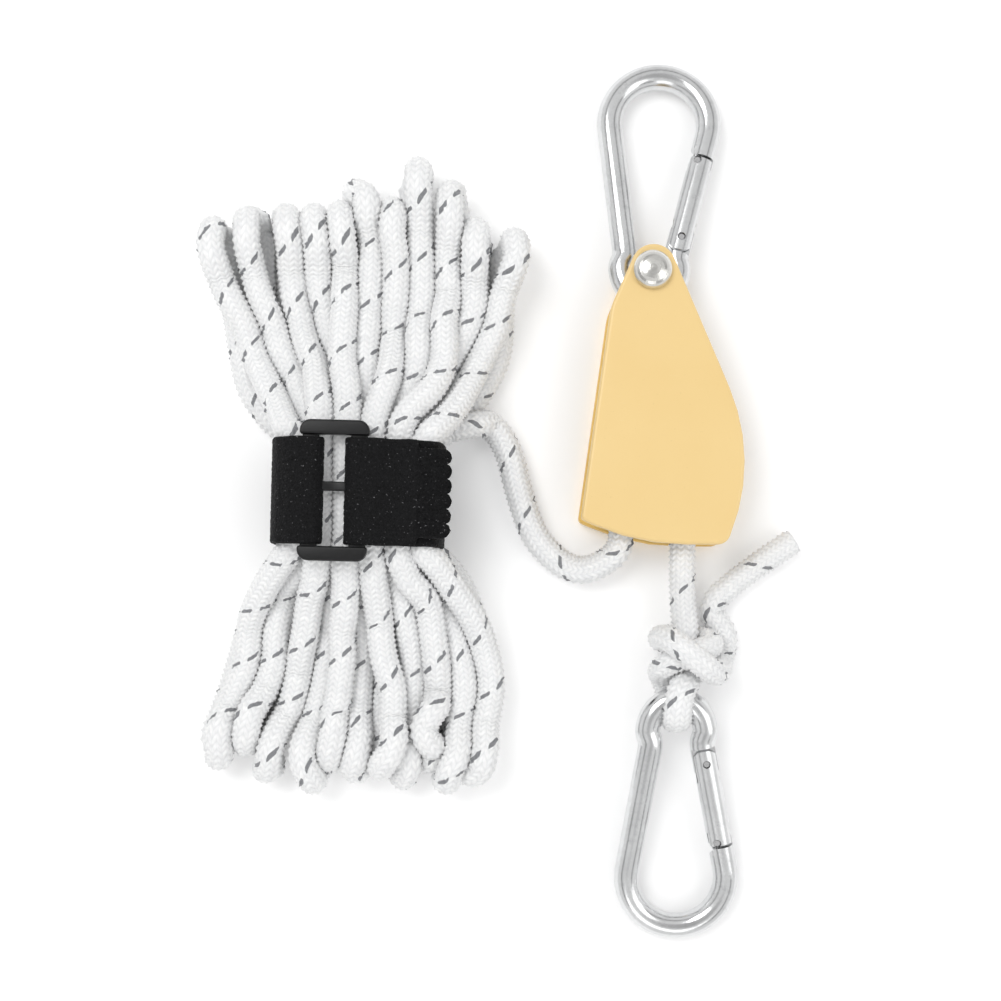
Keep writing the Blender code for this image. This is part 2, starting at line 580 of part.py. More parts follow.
# ---------------------------------------------------------------- hank, strap and buckle
def hank_section(y):
    """Half width, height, middle x and floor gap of the hank across its length."""
    length = HANK_TOP_Y - HANK_WAIST_Y if y > HANK_WAIST_Y else HANK_WAIST_Y - HANK_LOW_Y
    t = (y - HANK_WAIST_Y) / length
    straight = STRAP_W / 2 + 1.0  # the stretch that the strap holds
    a = max(0.0, abs(y - HANK_WAIST_Y) - straight) / (length - straight)
    full = 37.0 if y > HANK_WAIST_Y else 32.0
    spread = HANK_WAIST_W / 2 + (full - HANK_WAIST_W / 2) * (0.5 - 0.5 * math.cos(math.pi * min(a / 0.82, 1.0)))
    end = math.sqrt(max(0.0, 1 - max(0.0, (a - 0.8) / 0.2) ** 2))
    high = HANK_WAIST_H + (21.5 - HANK_WAIST_H) * (0.5 - 0.5 * math.cos(math.pi * min(a / 0.7, 1.0)))
    lift = (STRAP_T + 2 * GAP) * max(0.0, 1 - max(0.0, abs(y - HANK_WAIST_Y) - STRAP_W / 2) / 20.0)
    x = HANK_X + (1.5 if y > HANK_WAIST_Y else 0.8) * t
    return spread * (0.35 + 0.65 * end), high * (0.55 + 0.45 * end), x, max(lift, 0.02)


def hank():
    ys = np.concatenate(
        [
            np.linspace(HANK_LOW_Y, HANK_LOW_Y + 14, 6)[:-1],
            np.linspace(HANK_LOW_Y + 14, HANK_WAIST_Y - STRAP_W / 2 - 1, 7)[:-1],
            np.linspace(HANK_WAIST_Y - STRAP_W / 2 - 1, HANK_WAIST_Y + STRAP_W / 2 + 1, 3),
            np.linspace(HANK_WAIST_Y + STRAP_W / 2 + 1, HANK_TOP_Y - 14, 7)[1:],
            np.linspace(HANK_TOP_Y - 14, HANK_TOP_Y, 6)[1:],
        ]
    )
    bm = bmesh.new()
    rings = []
    for y in ys:
        half, high, x, lift = hank_section(float(y))
        ring = []
        for k in range(28):
            t = 2 * math.pi * k / 28
            c, s = math.cos(t), math.sin(t)
            e = 0.62
            ring.append(
                bm.verts.new(
                    (x + half * math.copysign(abs(c) ** e, c), float(y), lift + high / 2 + high / 2 * math.copysign(abs(s) ** e, s))
                )
            )
        rings.append(ring)
    for a, b in zip(rings, rings[1:]):
        for k in range(28):
            bm.faces.new((a[k], a[(k + 1) % 28], b[(k + 1) % 28], b[k]))
    bm.faces.new(rings[0][::-1])
    bm.faces.new(rings[-1])
    return mesh_of(bm)


finish("rope_hank", hank(), "rope_braid", smooth=60)


def strap_ring(inset, count=44):
    half, high, x, lift = hank_section(HANK_WAIST_Y)
    out = []
    for k in range(count):
        t = 2 * math.pi * k / count
        c, s = math.cos(t), math.sin(t)
        e = 0.62
        out.append((x + (half + inset) * math.copysign(abs(c) ** e, c), lift + high / 2 + (high / 2 + inset) * math.copysign(abs(s) ** e, s)))
    return out


def strap():
    """A flat band round the hank's waist."""
    inner, outer = strap_ring(GAP + 0.02), strap_ring(GAP + STRAP_T)
    n = len(inner)
    y0, y1 = HANK_WAIST_Y - STRAP_W / 2, HANK_WAIST_Y + STRAP_W / 2
    bm = bmesh.new()
    loops = [[bm.verts.new((x, y, z)) for x, z in ring] for ring, y in ((inner, y0), (outer, y0), (outer, y1), (inner, y1))]
    for i in range(4):
        a, b = loops[i], loops[(i + 1) % 4]
        for k in range(n):
            bm.faces.new((a[k], a[(k + 1) % n], b[(k + 1) % n], b[k]))
    return mesh_of(bm)


finish("strap_band", strap(), "strap_web", smooth=50)
_, waist_high, _, waist_lift = hank_section(HANK_WAIST_Y)
STRAP_TOP = waist_lift + waist_high + GAP + STRAP_T
buckle_outer = rounded([((BUCKLE_X + sx * BUCKLE_W / 2, BUCKLE_Y + sy * BUCKLE_L / 2), 3.2) for sx, sy in ((1, 1), (-1, 1), (-1, -1), (1, -1))], step_deg=18)
buckle_cuts = []
for y0, y1 in ((1.4, BUCKLE_L / 2 - 3.4), (-BUCKLE_L / 2 + 3.4, -1.4)):
    buckle_cuts.append(("DIFFERENCE", box((BUCKLE_X - 2.7, BUCKLE_Y + y0, 0), (BUCKLE_X + 2.7, BUCKLE_Y + y1, 60))))
finish(
    "strap_buckle",
    modelled(modelled(prism(buckle_outer, STRAP_TOP + GAP, STRAP_TOP + GAP + BUCKLE_T), bevel=0.6, bevel_steps=2, angle=50), buckle_cuts),
    "buckle_plastic",
)
# the loose hook end of the strap, pressed down over the band at its right
x0 = BUCKLE_X + BUCKLE_W / 2 + 1.0
finish(
    "strap_hook_end",
    modelled(box((x0, HANK_WAIST_Y - STRAP_CUT, STRAP_TOP + GAP), (x0 + 10.5, HANK_WAIST_Y + STRAP_CUT, STRAP_TOP + GAP + 1.1)), bevel=0.3),
    "strap_web",
)
print("EYEWIRE", [round(c, 3) for c in eye_wire])
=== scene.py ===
"""Looks of the rope ratchet hoist: the braided rope in its strapped hank, through the block and down to the knotted
eye, the strap and its buckle, and the finishes of the covers, hooks and pins. Lengths are millimetres unless named m."""

import math

import bmesh
import bpy
import numpy as np
from mathutils import Matrix, Vector


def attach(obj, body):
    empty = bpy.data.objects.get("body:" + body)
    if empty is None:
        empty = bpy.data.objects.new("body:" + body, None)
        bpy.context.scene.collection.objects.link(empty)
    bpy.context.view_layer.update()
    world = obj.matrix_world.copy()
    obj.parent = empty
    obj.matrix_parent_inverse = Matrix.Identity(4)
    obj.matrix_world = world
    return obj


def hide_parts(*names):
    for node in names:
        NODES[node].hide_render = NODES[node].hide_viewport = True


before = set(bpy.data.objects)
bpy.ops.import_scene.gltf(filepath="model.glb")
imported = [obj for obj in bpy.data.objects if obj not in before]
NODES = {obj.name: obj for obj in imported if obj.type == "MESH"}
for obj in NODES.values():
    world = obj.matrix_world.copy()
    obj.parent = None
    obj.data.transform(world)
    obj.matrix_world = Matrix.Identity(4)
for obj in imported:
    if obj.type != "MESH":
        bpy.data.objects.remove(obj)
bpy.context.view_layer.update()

for spare in ("Cube", "Light", "Camera"):  # the start-up scene's own
    if spare in bpy.data.objects:
        bpy.data.objects.remove(bpy.data.objects[spare], do_unlink=True)
MM = 0.001
SHIFT = np.array([-0.355, 0.2, 0.0])  # from part.py's own numbers to the row frame
ROPE_R = 3.25
COLLECTION = bpy.context.scene.collection

# ---------------------------------------------------------------- camera, floor and light
camera = bpy.data.cameras.new("camera")
camera.sensor_width, camera.lens = 36.0, 52.83
camera.shift_x, camera.shift_y = 0.0005, 0.0994
camera.clip_start, camera.clip_end = 0.01, 5.0
eye = bpy.data.objects.new("camera", camera)
eye.location = (-0.038305, -0.02395, 0.360)
eye.rotation_euler = (0.0, 0.0, 0.0)
COLLECTION.objects.link(eye)
bpy.context.scene.camera = eye
bpy.context.scene.view_settings.view_transform = "Standard"


def area_light(name, at, aim, size, power, colour=(1, 1, 1)):
    light = bpy.data.lights.new(name, "AREA")
    light.shape, light.size, light.size_y = "RECTANGLE", size[0], size[1]
    light.energy, light.color = power, colour
    o = bpy.data.objects.new(name, light)
    o.location = at
    o.rotation_mode = "QUATERNION"
    o.rotation_quaternion = (Vector(aim) - Vector(at)).to_track_quat("-Z", "Y")
    COLLECTION.objects.link(o)
    return o


area_light("key", (-0.34, 0.26, 0.72), (-0.03, 0.0, 0.0), (0.42, 0.42), 2.3)
area_light("fill", (0.50, -0.10, 0.55), (-0.02, 0.0, 0.0), (0.4, 0.5), 0.8)
area_light("front", (-0.05, -0.60, 0.50), (-0.02, 0.0, 0.0), (0.5, 0.3), 0.57)


def studio():
    """A plain studio's surroundings: pale walls, a dimmer ceiling and a thin dark rail, for the metal to reflect."""
    world = bpy.data.worlds.new("studio")
    bpy.context.scene.world = world
    world.use_nodes = True
    tree = world.node_tree
    at = tree.nodes.new("ShaderNodeTexCoord")
    split = tree.nodes.new("ShaderNodeSeparateXYZ")
    tree.links.new(at.outputs["Generated"], split.inputs[0])
    ramp = tree.nodes.new("ShaderNodeValToRGB")
    tree.links.new(split.outputs[2], ramp.inputs[0])
    stops = ((0.0, 0.86), (0.22, 0.92), (0.52, 0.80), (0.57, 0.30), (0.64, 0.30), (0.69, 0.80), (0.90, 0.82), (0.95, 0.54), (1.0, 0.48))
    ramp.color_ramp.elements[0].position, ramp.color_ramp.elements[1].position = stops[0][0], stops[-1][0]
    for position, _ in stops[1:-1]:
        ramp.color_ramp.elements.new(position)
    for stop, (_, value) in zip(ramp.color_ramp.elements, stops):
        stop.color = (value, value, value, 1.0)
    tree.links.new(ramp.outputs[0], tree.nodes["Background"].inputs["Color"])
    tree.nodes["Background"].inputs["Strength"].default_value = 0.97


studio()


# ---------------------------------------------------------------- shader building
class Shader:
    """A material's node tree, with short calls for what the finishes below need."""

    def __init__(self, name):
        self.material = bpy.data.materials.new(name)
        self.material.use_nodes = True
        self.tree = self.material.node_tree
        self.tree.nodes.clear()
        self.out = self.tree.nodes.new("ShaderNodeOutputMaterial")
        self.bsdf = self.tree.nodes.new("ShaderNodeBsdfPrincipled")
        self.link(self.bsdf.outputs[0], self.out.inputs[0])

    def link(self, a, b):
        self.tree.links.new(a, b)

    def set(self, **values):
        for key, value in values.items():
            socket = self.bsdf.inputs[key.replace("_", " ")]
            if hasattr(value, "is_output"):
                self.link(value, socket)
            elif isinstance(value, tuple):
                socket.default_value = (*value, 1.0) if len(value) == 3 and len(socket.default_value) == 4 else value
            else:
                socket.default_value = value

    def node(self, kind, **inputs):
        n = self.tree.nodes.new(kind)
        for key, value in inputs.items():
            socket = n.inputs[int(key[1:])] if key[0] == "i" and key[1:].isdigit() else n.inputs[key.replace("_", " ")]
            if hasattr(value, "is_output"):
                self.link(value, socket)
            else:
                socket.default_value = value
        return n

    def math(self, operation, a, b=0.0, c=0.0, clamp=False):
        n = self.tree.nodes.new("ShaderNodeMath")
        n.operation, n.use_clamp = operation, clamp
        for socket, value in zip(n.inputs, (a, b, c)):
            if hasattr(value, "is_output"):
                self.link(value, socket)
            else:
                socket.default_value = value
        return n.outputs[0]

    def vector(self, x, y, z):
        n = self.tree.nodes.new("ShaderNodeCombineXYZ")
        for socket, value in zip(n.inputs, (x, y, z)):
            if hasattr(value, "is_output"):
                self.link(value, socket)
            else:
                socket.default_value = value
        return n.outputs[0]

    def place(self, scale=(1.0, 1.0, 1.0), turn=(0.0, 0.0, 0.0)):
        at = self.tree.nodes.new("ShaderNodeTexCoord").outputs["Object"]
        m = self.tree.nodes.new("ShaderNodeMapping")
        self.link(at, m.inputs[0])
        m.inputs["Scale"].default_value = scale
        m.inputs["Rotation"].default_value = turn
        return m.outputs[0]

    def noise(self, where, scale, detail=3.0, rough=0.5, distortion=0.0):
        n = self.node("ShaderNodeTexNoise", Vector=where, Scale=scale, Detail=detail, Roughness=rough, Distortion=distortion)
        return n.outputs["Fac"]

    def ramp(self, value, low, high, to_low=0.0, to_high=1.0):
        n = self.tree.nodes.new("ShaderNodeMapRange")
        n.clamp = True
        self.link(value, n.inputs["Value"])
        for key, v in (("From Min", low), ("From Max", high), ("To Min", to_low), ("To Max", to_high)):
            n.inputs[key].default_value = v
        return n.outputs[0]

    def mix(self, factor, a, b):
        n = self.tree.nodes.new("ShaderNodeMix")
        n.data_type = "RGBA"
        sockets = [s for s in n.inputs if s.type == "RGBA"]
        if hasattr(factor, "is_output"):
            self.link(factor, n.inputs[0])
        else:
            n.inputs[0].default_value = factor
        for socket, value in zip(sockets, (a, b)):
            if hasattr(value, "is_output"):
                self.link(value, socket)
            else:
                socket.default_value = (*value, 1.0)
        return [s for s in n.outputs if s.type == "RGBA"][0]

    def bump(self, height, strength, distance, under=None):
        n = self.tree.nodes.new("ShaderNodeBump")
        self.link(height, n.inputs["Height"])
        n.inputs["Strength"].default_value = strength
        n.inputs["Distance"].default_value = distance
        if under is not None:
            self.link(under, n.inputs["Normal"])
        return n.outputs[0]


def floor_finish():
    s = Shader("floor")
    where = s.place()
    grain_and_stitch_shade = s.noise(where, 900.0, 2.0)
    s.set(
        Base_Color=s.mix(s.ramp(grain_and_stitch_shade, 0.3, 0.7), (0.96, 0.96, 0.96), (0.98, 0.98, 0.98)),
        Roughness=0.9,
        Specular_IOR_Level=0.1,
        Emission_Color=(1.0, 1.0, 1.0),
        Emission_Strength=0.11,
    )
    return s.material


def paint_finish(name, colour, deep):
    """Satin enamel over stamped sheet: faint flow marks, dust specks, thin wear and rub marks in slanted streaks."""
    s = Shader(name)
    where = s.place()
    cloud = s.noise(where, 55.0, 4.0, 0.55)
    peel = s.noise(where, 1500.0, 2.0, 0.4)
    speck = s.noise(where, 1900.0, 1.0, 0.5)
    streak = s.noise(s.place(scale=(1.0, 9.0, 1.0), turn=(0, 0, 0.35)), 420.0, 3.0, 0.6)
    body = s.mix(s.ramp(cloud, 0.3, 0.7), colour, deep)
    body = s.mix(s.math("MULTIPLY", s.ramp(speck, 0.74, 0.79), 0.16), body, (0.45, 0.32, 0.15))
    scratch = s.noise(s.place(scale=(1.0, 22.0, 1.0), turn=(0, 0, -0.6)), 260.0, 2.0, 0.5)
    marks = s.math("MULTIPLY", s.ramp(scratch, 0.72, 0.76), 0.12)
    body = s.mix(marks, body, (0.97, 0.86, 0.62))
    rough = s.math("ADD", s.ramp(streak, 0.3, 0.8, 0.34, 0.46), marks)
    s.set(Base_Color=body, Roughness=rough, Specular_IOR_Level=0.4, Coat_Weight=0.15, Coat_Roughness=0.3, Normal=s.bump(peel, 0.08, 0.0001))
    return s.material


def metal_finish(name, colour, tint, rough, brushed=None, grime=0.25, pits=0.06):
    """Plated or drawn metal: cloudy plating, fine scratches, darker film in scattered patches."""
    s = Shader(name)
    where = s.place()
    cloud = s.noise(where, 110.0, 4.0, 0.6)
    fine = s.noise(s.place(scale=brushed or (1.0, 1.0, 1.0)), 1600.0, 4.0, 0.65)
    dots = s.noise(where, 3200.0, 2.0, 0.6)
    body = s.mix(s.ramp(cloud, 0.32, 0.68), colour, tint)
    film = s.math("MULTIPLY", s.ramp(s.noise(where, 420.0, 5.0, 0.7), 0.52, 0.72), grime)
    body = s.mix(film, body, tuple(c * 0.42 for c in colour))
    r = s.math("ADD", s.ramp(fine, 0.3, 0.75, rough * 0.75, rough * 1.45), s.math("MULTIPLY", film, 0.35))
    first = s.bump(fine, 0.12, 0.00006)
    s.set(Base_Color=body, Metallic=1.0, Roughness=r, Normal=s.bump(dots, pits, 0.00010, first))
    return s.material


PITCH = 1.4  # along the rope, one stitch to the next
COLUMNS = 16  # rows of stitches round the rope
TRACER = 15.0  # along the rope, one crossing of the tracer to the next


def rope_finish():
    """Solid braid: sixteen rows of plump slanted stitches, each a bundle of fine parallel filaments, with the dashes of
    one grey tracer in a slow helix. U runs once round the rope and V counts stitches along it."""
    s = Shader("rope_braid")
    uv = s.tree.nodes.new("ShaderNodeUVMap")
    uv.uv_map = "rope"
    split = s.node("ShaderNodeSeparateXYZ", i0=uv.outputs[0])
    u, v = split.outputs[0], split.outputs[1]
    wide = s.math("MULTIPLY", u, float(COLUMNS))
    column = s.math("FLOOR", wide)
    across = s.math("SUBTRACT", s.math("SUBTRACT", wide, column), 0.5)
    odd = s.math("MODULO", column, 2.0)
    slope = s.math("SUBTRACT", s.math("MULTIPLY", odd, 2.0), 1.0)
    along = s.math("SUBTRACT", v, s.math("MULTIPLY", slope, s.math("MULTIPLY", across, 0.8)))
    stitch = s.math("FLOOR", s.math("ADD", along, 0.5))
    off = s.math("SUBTRACT", along, stitch)
    # filaments lie along the stitch
    threads = s.noise(s.vector(s.math("MULTIPLY", along, 7.0), s.math("MULTIPLY", across, 1.1), s.math("MULTIPLY", column, 3.7)), 1.0, 2.0, 0.6)
    fuzz = s.noise(s.place(), 2400.0, 3.0, 0.7)
    tone = s.noise(s.vector(s.math("MULTIPLY", stitch, 0.731), column, 0.0), 1.0, 0.0)
    base = s.mix(s.ramp(tone, 0.35, 0.65), (0.90, 0.905, 0.91), (0.975, 0.975, 0.97))
    # painted shade: each stitch darkens from its crest to its rim, into the gaps between stitches, by up to 0.46
    # towards grey 0.60
    grain_and_stitch_shade = s.math("SQRT", s.math("ADD", s.math("POWER", s.math("ABSOLUTE", s.math("MULTIPLY", off, 1.9)), 2.0), s.math("POWER", s.math("ABSOLUTE", s.math("MULTIPLY", across, 1.7)), 2.0)))
    base = s.mix(s.ramp(grain_and_stitch_shade, 0.50, 1.15, 0.0, 0.46), base, (0.60, 0.61, 0.62))
    # painted shade in the low grooves of the filament bump, by up to 0.14 towards the same grey
    base = s.mix(s.math("MULTIPLY", s.ramp(threads, 0.55, 0.30), 0.14), base, (0.60, 0.61, 0.62))
    soil = s.math("MULTIPLY", s.ramp(s.noise(s.place(), 60.0, 3.0, 0.6), 0.52, 0.75), 0.08)
    base = s.mix(soil, base, (0.66, 0.64, 0.60))
    # the tracer: five dashes a turn along its helix, with frayed ends
    lift = s.math("SUBTRACT", s.math("MULTIPLY", v, PITCH), s.math("MULTIPLY", u, TRACER))
    lift = s.math("MODULO", s.math("ADD", lift, 1000.0 * TRACER), TRACER)
    wander = s.math("MULTIPLY", s.math("SUBTRACT", s.noise(s.place(), 500.0, 1.0), 0.5), 0.5)
    beside = s.math("MULTIPLY", s.math("ADD", s.math("SUBTRACT", lift, TRACER / 2), wander), 0.80)
    step = s.math("SUBTRACT", s.math("FRACT", s.math("MULTIPLY", u, 5.0)), 0.5)
    ends = s.math("MAXIMUM", s.math("SUBTRACT", s.math("ABSOLUTE", s.math("MULTIPLY", step, 5.06)), 1.15), 0.0)
    away = s.math("SQRT", s.math("ADD", s.math("MULTIPLY", beside, beside), s.math("MULTIPLY", ends, ends)))
    away = s.math("ADD", away, s.math("MULTIPLY", s.math("SUBTRACT", threads, 0.5), 0.16))
    dark = s.ramp(away, 0.38, 0.50, 0.92, 0.0)
    base = s.mix(dark, base, s.mix(s.ramp(threads, 0.3, 0.7), (0.10, 0.105, 0.115), (0.23, 0.235, 0.25)))
    first = s.bump(threads, 0.30, 0.00010)
    s.set(
        Base_Color=base,
        Roughness=s.ramp(threads, 0.2, 0.8, 0.50, 0.32),
        Specular_IOR_Level=0.5,
        Sheen_Weight=0.10,
        Sheen_Roughness=0.45,
        Normal=s.bump(fuzz, 0.22, 0.00008, first),
    )
    return s.material


def pile_finish(name, hooks):
    """Black hook-and-loop webbing: matted loops, or rows of stiff hooks, over a woven ground, with pale lint."""
    s = Shader(name)
    where = s.place()
    loops = s.node("ShaderNodeTexVoronoi", Vector=where, Scale=2100.0 if hooks else 1700.0)
    curl = s.noise(where, 2600.0, 3.0, 0.7, 1.5)
    lint = s.noise(where, 1900.0, 2.0, 0.55)
    body = s.mix(s.ramp(curl, 0.35, 0.7), (0.002, 0.002, 0.0022), (0.012, 0.012, 0.013))
    body = s.mix(s.math("MULTIPLY", s.ramp(lint, 0.675, 0.75), 0.50), body, (0.32, 0.32, 0.33))
    first = s.bump(loops.outputs["Distance"], 0.6, 0.0003)
    s.set(
        Base_Color=body,
        Roughness=s.ramp(curl, 0.3, 0.7, 0.85, 0.55),
        Specular_IOR_Level=0.12,
        Sheen_Weight=0.02,
        Sheen_Roughness=0.5,
        Normal=s.bump(curl, 0.5, 0.0002, first),
    )
    return s.material


def moulding_finish():
    s = Shader("buckle_plastic")
    where = s.place()
    spark = s.noise(where, 2200.0, 2.0, 0.5)
    scuff = s.noise(s.place(scale=(1.0, 6.0, 1.0)), 500.0, 3.0, 0.6)
    s.set(
        Base_Color=s.mix(s.ramp(scuff, 0.55, 0.8), (0.004, 0.004, 0.0044), (0.012, 0.012, 0.013)),
        Specular_IOR_Level=0.34,
        Roughness=s.ramp(scuff, 0.3, 0.8, 0.32, 0.5),
        Normal=s.bump(spark, 0.12, 0.00010),
    )
    return s.material


ROPE = rope_finish()
FINISH = {
    "front_cover": paint_finish("front_cover_paint", (0.852, 0.624, 0.280), (0.834, 0.602, 0.262)),
    "rear_cover": paint_finish("rear_cover_paint", (0.86, 0.56, 0.150), (0.80, 0.50, 0.12)),
    "plate": metal_finish("frame_plate_steel", (0.52, 0.52, 0.50), (0.60, 0.59, 0.56), 0.32, (1.0, 14.0, 1.0)),
    "rivet": metal_finish("rivet_nickel", (0.78, 0.77, 0.74), (0.70, 0.69, 0.66), 0.20, None, 0.2),
    "pin": metal_finish("pin_steel", (0.60, 0.60, 0.60), (0.52, 0.52, 0.53), 0.26, (1.0, 1.0, 12.0)),
    "wheel": metal_finish("wheel_zinc", (0.62, 0.59, 0.52), (0.54, 0.52, 0.47), 0.36, None, 0.35),
    "spring": metal_finish("spring_wire", (0.45, 0.45, 0.46), (0.38, 0.38, 0.40), 0.30),
    "hook": metal_finish("hook_zinc", (0.76, 0.765, 0.77), (0.67, 0.675, 0.68), 0.17, (1.0, 1.0, 1.0), 0.22, 0.05),
    "gate": metal_finish("hook_zinc_gate", (0.76, 0.765, 0.77), (0.68, 0.685, 0.69), 0.20, (1.0, 8.0, 1.0), 0.22, 0.05),
}
WEARS = {
    "front_cover": "front_cover",
    "rear_cover": "rear_cover",
    "front_frame_plate": "plate",
    "rear_frame_plate": "plate",
    "top_rivet": "rivet",
    "sheave_axle": "pin",
    "pawl_pin": "pin",
    "spacer_post_left": "pin",
    "spacer_post_right": "pin",
    "sheave": "wheel",
    "ratchet_wheel": "wheel",
    "ratchet_pawl": "wheel",
    "release_tab": "wheel",
    "pawl_spring": "spring",
    "upper_gate_hinge_pin": "pin",
    "upper_gate_latch_pin": "pin",
    "lower_gate_hinge_pin": "pin",
    "lower_gate_latch_pin": "pin",
}
for node, which in WEARS.items():
    for k in range(len(NODES[node].material_slots)):
        NODES[node].material_slots[k].material = FINISH[which]


# ---------------------------------------------------------------- lines
def spline(points, step):
    """Points every step along a smooth curve through the given ones (centripetal enough for even spacing)."""
    p = np.array(points, float)
    p = np.vstack([2 * p[0] - p[1], p, 2 * p[-1] - p[-2]])
    t = np.linspace(0, 1, 16, endpoint=False)[:, None]
    fine = []
    for a, b, c, d in zip(p[:-3], p[1:-2], p[2:-1], p[3:]):
        fine.append(0.5 * (2 * b + (c - a) * t + (2 * a - 5 * b + 4 * c - d) * t**2 + (3 * b - a - 3 * c + d) * t**3))
    fine = np.vstack([*fine, p[-2][None]])
    return even(fine, step)


def even(points, step):
    """The same line with its points an even step apart."""
    p = np.asarray(points, float)
    along = np.concatenate([[0], np.cumsum(np.linalg.norm(np.diff(p, axis=0), axis=1))])
    count = max(2, int(round(along[-1] / step)) + 1)
    at = np.linspace(0, along[-1], count)
    return np.stack([np.interp(at, along, p[:, k]) for k in range(3)], axis=1)


def length_of(p):
    return float(np.linalg.norm(np.diff(p, axis=0), axis=1).sum())


# ---------------------------------------------------------------- the spare rope's route
# Each bight of the hank as it lies: (x, y) of its upper strand from the strap to its tip, and how far its lower strand
# lies to the side at the tip (0 stands upright, 9 lies flat). Left to right.
TOP = (
    (((-86.8, 16.0), (-96.0, 33.6), (-104.6, 51.4), (-107.0, 62.8), (-106.6, 68.6)), 1.0),
    (((-84.0, 18.4), (-89.9, 32.9), (-96.4, 49.1), (-99.8, 61.2), (-98.0, 71.0)), 1.5),
    (((-80.2, 20.7), (-84.2, 39.9), (-88.4, 56.9), (-90.2, 65.9), (-88.4, 71.4)), -0.5),
    (((-75.2, 18.4), (-77.4, 35.2), (-80.9, 53.0), (-82.7, 62.8), (-81.4, 71.0)), 0.0),
    (((-73.0, 25.0), (-73.8, 44.5), (-75.4, 56.9), (-76.0, 65.2), (-76.4, 72.2)), 1.0),
    (((-68.6, 18.4), (-68.9, 36.8), (-68.4, 51.4), (-67.8, 64.4), (-70.6, 77.4)), -5.5),
    (((-62.9, 16.0), (-64.0, 36.8), (-64.4, 56.9), (-64.6, 65.2), (-64.6, 72.6)), 0.5),
    (((-58.3, 16.0), (-57.8, 36.8), (-57.8, 56.9), (-57.6, 73.0), (-57.9, 82.2)), -0.5),
    (((-53.7, 16.8), (-51.9, 36.8), (-50.9, 56.9), (-50.1, 69.1), (-49.9, 76.6)), 0.5),
    (((-50.9, 17.0), (-47.2, 36.8), (-45.2, 53.0), (-43.8, 61.2), (-43.8, 67.8)), -1.0),
    (((-50.2, 22.2), (-44.0, 34.8), (-39.4, 46.7), (-35.2, 58.4), (-34.3, 66.2)), -2.0),
)
BOTTOM = (
    (((-88.0, -12.4), (-92.8, -27.8), (-99.6, -42.8), (-106.0, -57.1), (-105.6, -65.0)), -1.0),
    (((-83.7, -13.5), (-86.8, -27.8), (-92.6, -42.0), (-98.8, -55.0), (-98.4, -61.4)), -0.5),
    (((-81.0, -16.9), (-83.8, -36.0), (-87.6, -50.6), (-91.6, -62.4), (-93.2, -67.4)), -2.0),
    (((-77.0, -15.5), (-79.2, -31.7), (-80.9, -47.5), (-82.5, -62.4), (-83.0, -71.0)), 0.0),
    (((-74.0, -17.9), (-74.9, -36.5), (-75.6, -50.4), (-76.2, -59.4), (-76.6, -64.7)), 0.0),
    (((-71.2, -14.8), (-71.3, -33.6), (-70.2, -50.6), (-69.4, -61.4), (-70.2, -68.0)), 0.5),
    (((-67.0, -12.4), (-66.3, -31.7), (-63.4, -50.6), (-62.6, -60.6), (-63.1, -66.0)), 0.5),
    (((-62.2, -12.4), (-60.0, -31.7), (-57.8, -46.4), (-57.6, -58.2), (-59.4, -69.8)), -3.0),
    (((-57.2, -12.4), (-54.4, -30.2), (-51.9, -45.5), (-53.2, -59.8), (-56.4, -67.4)), -1.5),
    (((-54.7, -12.4), (-50.2, -30.2), (-47.7, -47.5), (-49.0, -60.8), (-52.6, -69.8)), -2.0),
    (((-52.0, -13.2), (-47.0, -31.7), (-42.9, -47.5), (-43.0, -59.4), (-47.6, -69.4)), -2.5),
)
WAIST_X, WAIST_Y, HALF_STRAP = -70.9, 0.65, 12.1
ACROSS, LAYER, LOWEST = 6.0, 5.45, 5.35
TURNS = 11


def waist_slot(k, upper):
    """Where strand k of the upper or lower run crosses under the strap: (x, z)."""
    x = WAIST_X + (k - (TURNS - 1) / 2) * ACROSS / 2
    high = (3 if k % 2 == 0 else 2) if upper else (1 if k % 2 == 0 else 0)
    return x, LOWEST + LAYER * high


def bight(shape, lean, from_slot, to_slot, upper_first, side):
    """One bight: out along one run, round the tip and back along the other. side is 1 towards +Y. The loop at its end
    stands up like a drop lying on its side, as wide as the rope's own stiffness keeps it."""
    points, _ = shape
    run = np.array(points)
    flat = min(1.0, abs(lean) / 9.0)
    radius = 8.5 * (1 - 0.45 * flat)
    x_tip, y_tip = run[-1][0], run[-1][1] - side * ROPE_R
    base_y = WAIST_Y + side * (HALF_STRAP + 1.0)
    reach = abs(y_tip - base_y)
    xs = np.concatenate([run[:, 0], [x_tip]])
    ys = np.concatenate([np.abs(run[:, 1] - base_y), [reach + 2.0]])
    order = np.argsort(ys)

    def x_at(d, slot_x):
        x = float(np.interp(d, ys[order], xs[order]))
        blend_in = min(1.0, d / 16.0)
        return slot_x + (x - slot_x) * blend_in * blend_in * (3 - 2 * blend_in)

    runs = []
    for upper, (x0, z0) in ((upper_first, from_slot), (not upper_first, to_slot)):
        store = [(x0, base_y, z0)]
        for d in np.arange(7.0, reach - radius - 4.0, 6.0):
            f = d / reach
            if upper:
                sag = z0 + (10.8 - z0) * min(1.0, f / 0.5) ** 0.9
                z = sag + (3.4 + 2 * radius - 10.8) * max(0.0, (f - 0.5) / 0.38) ** 1.5
                z = min(z, max(3.4 + 2 * radius, z0))
                x = x_at(d, x0)
            else:
                z = z0 + (3.4 - z0) * min(1.0, f / 0.42)
                x = x_at(d, x0) + lean * min(1.0, f * 1.1)
            store.append((x, base_y + side * d, z))
        runs.append(store)
    arc = []
    for k in range(7):
        t = math.pi * k / 6  # 0 at the upper strand, pi at the lower
        share = 0.5 - 0.5 * math.cos(t)
        arc.append((x_tip + lean * share, y_tip - side * radius * (1 - math.sin(t)), 3.4 + radius + radius * math.cos(t)))
    if not upper_first:
        arc = arc[::-1]
    return runs[0] + arc + runs[1][::-1]


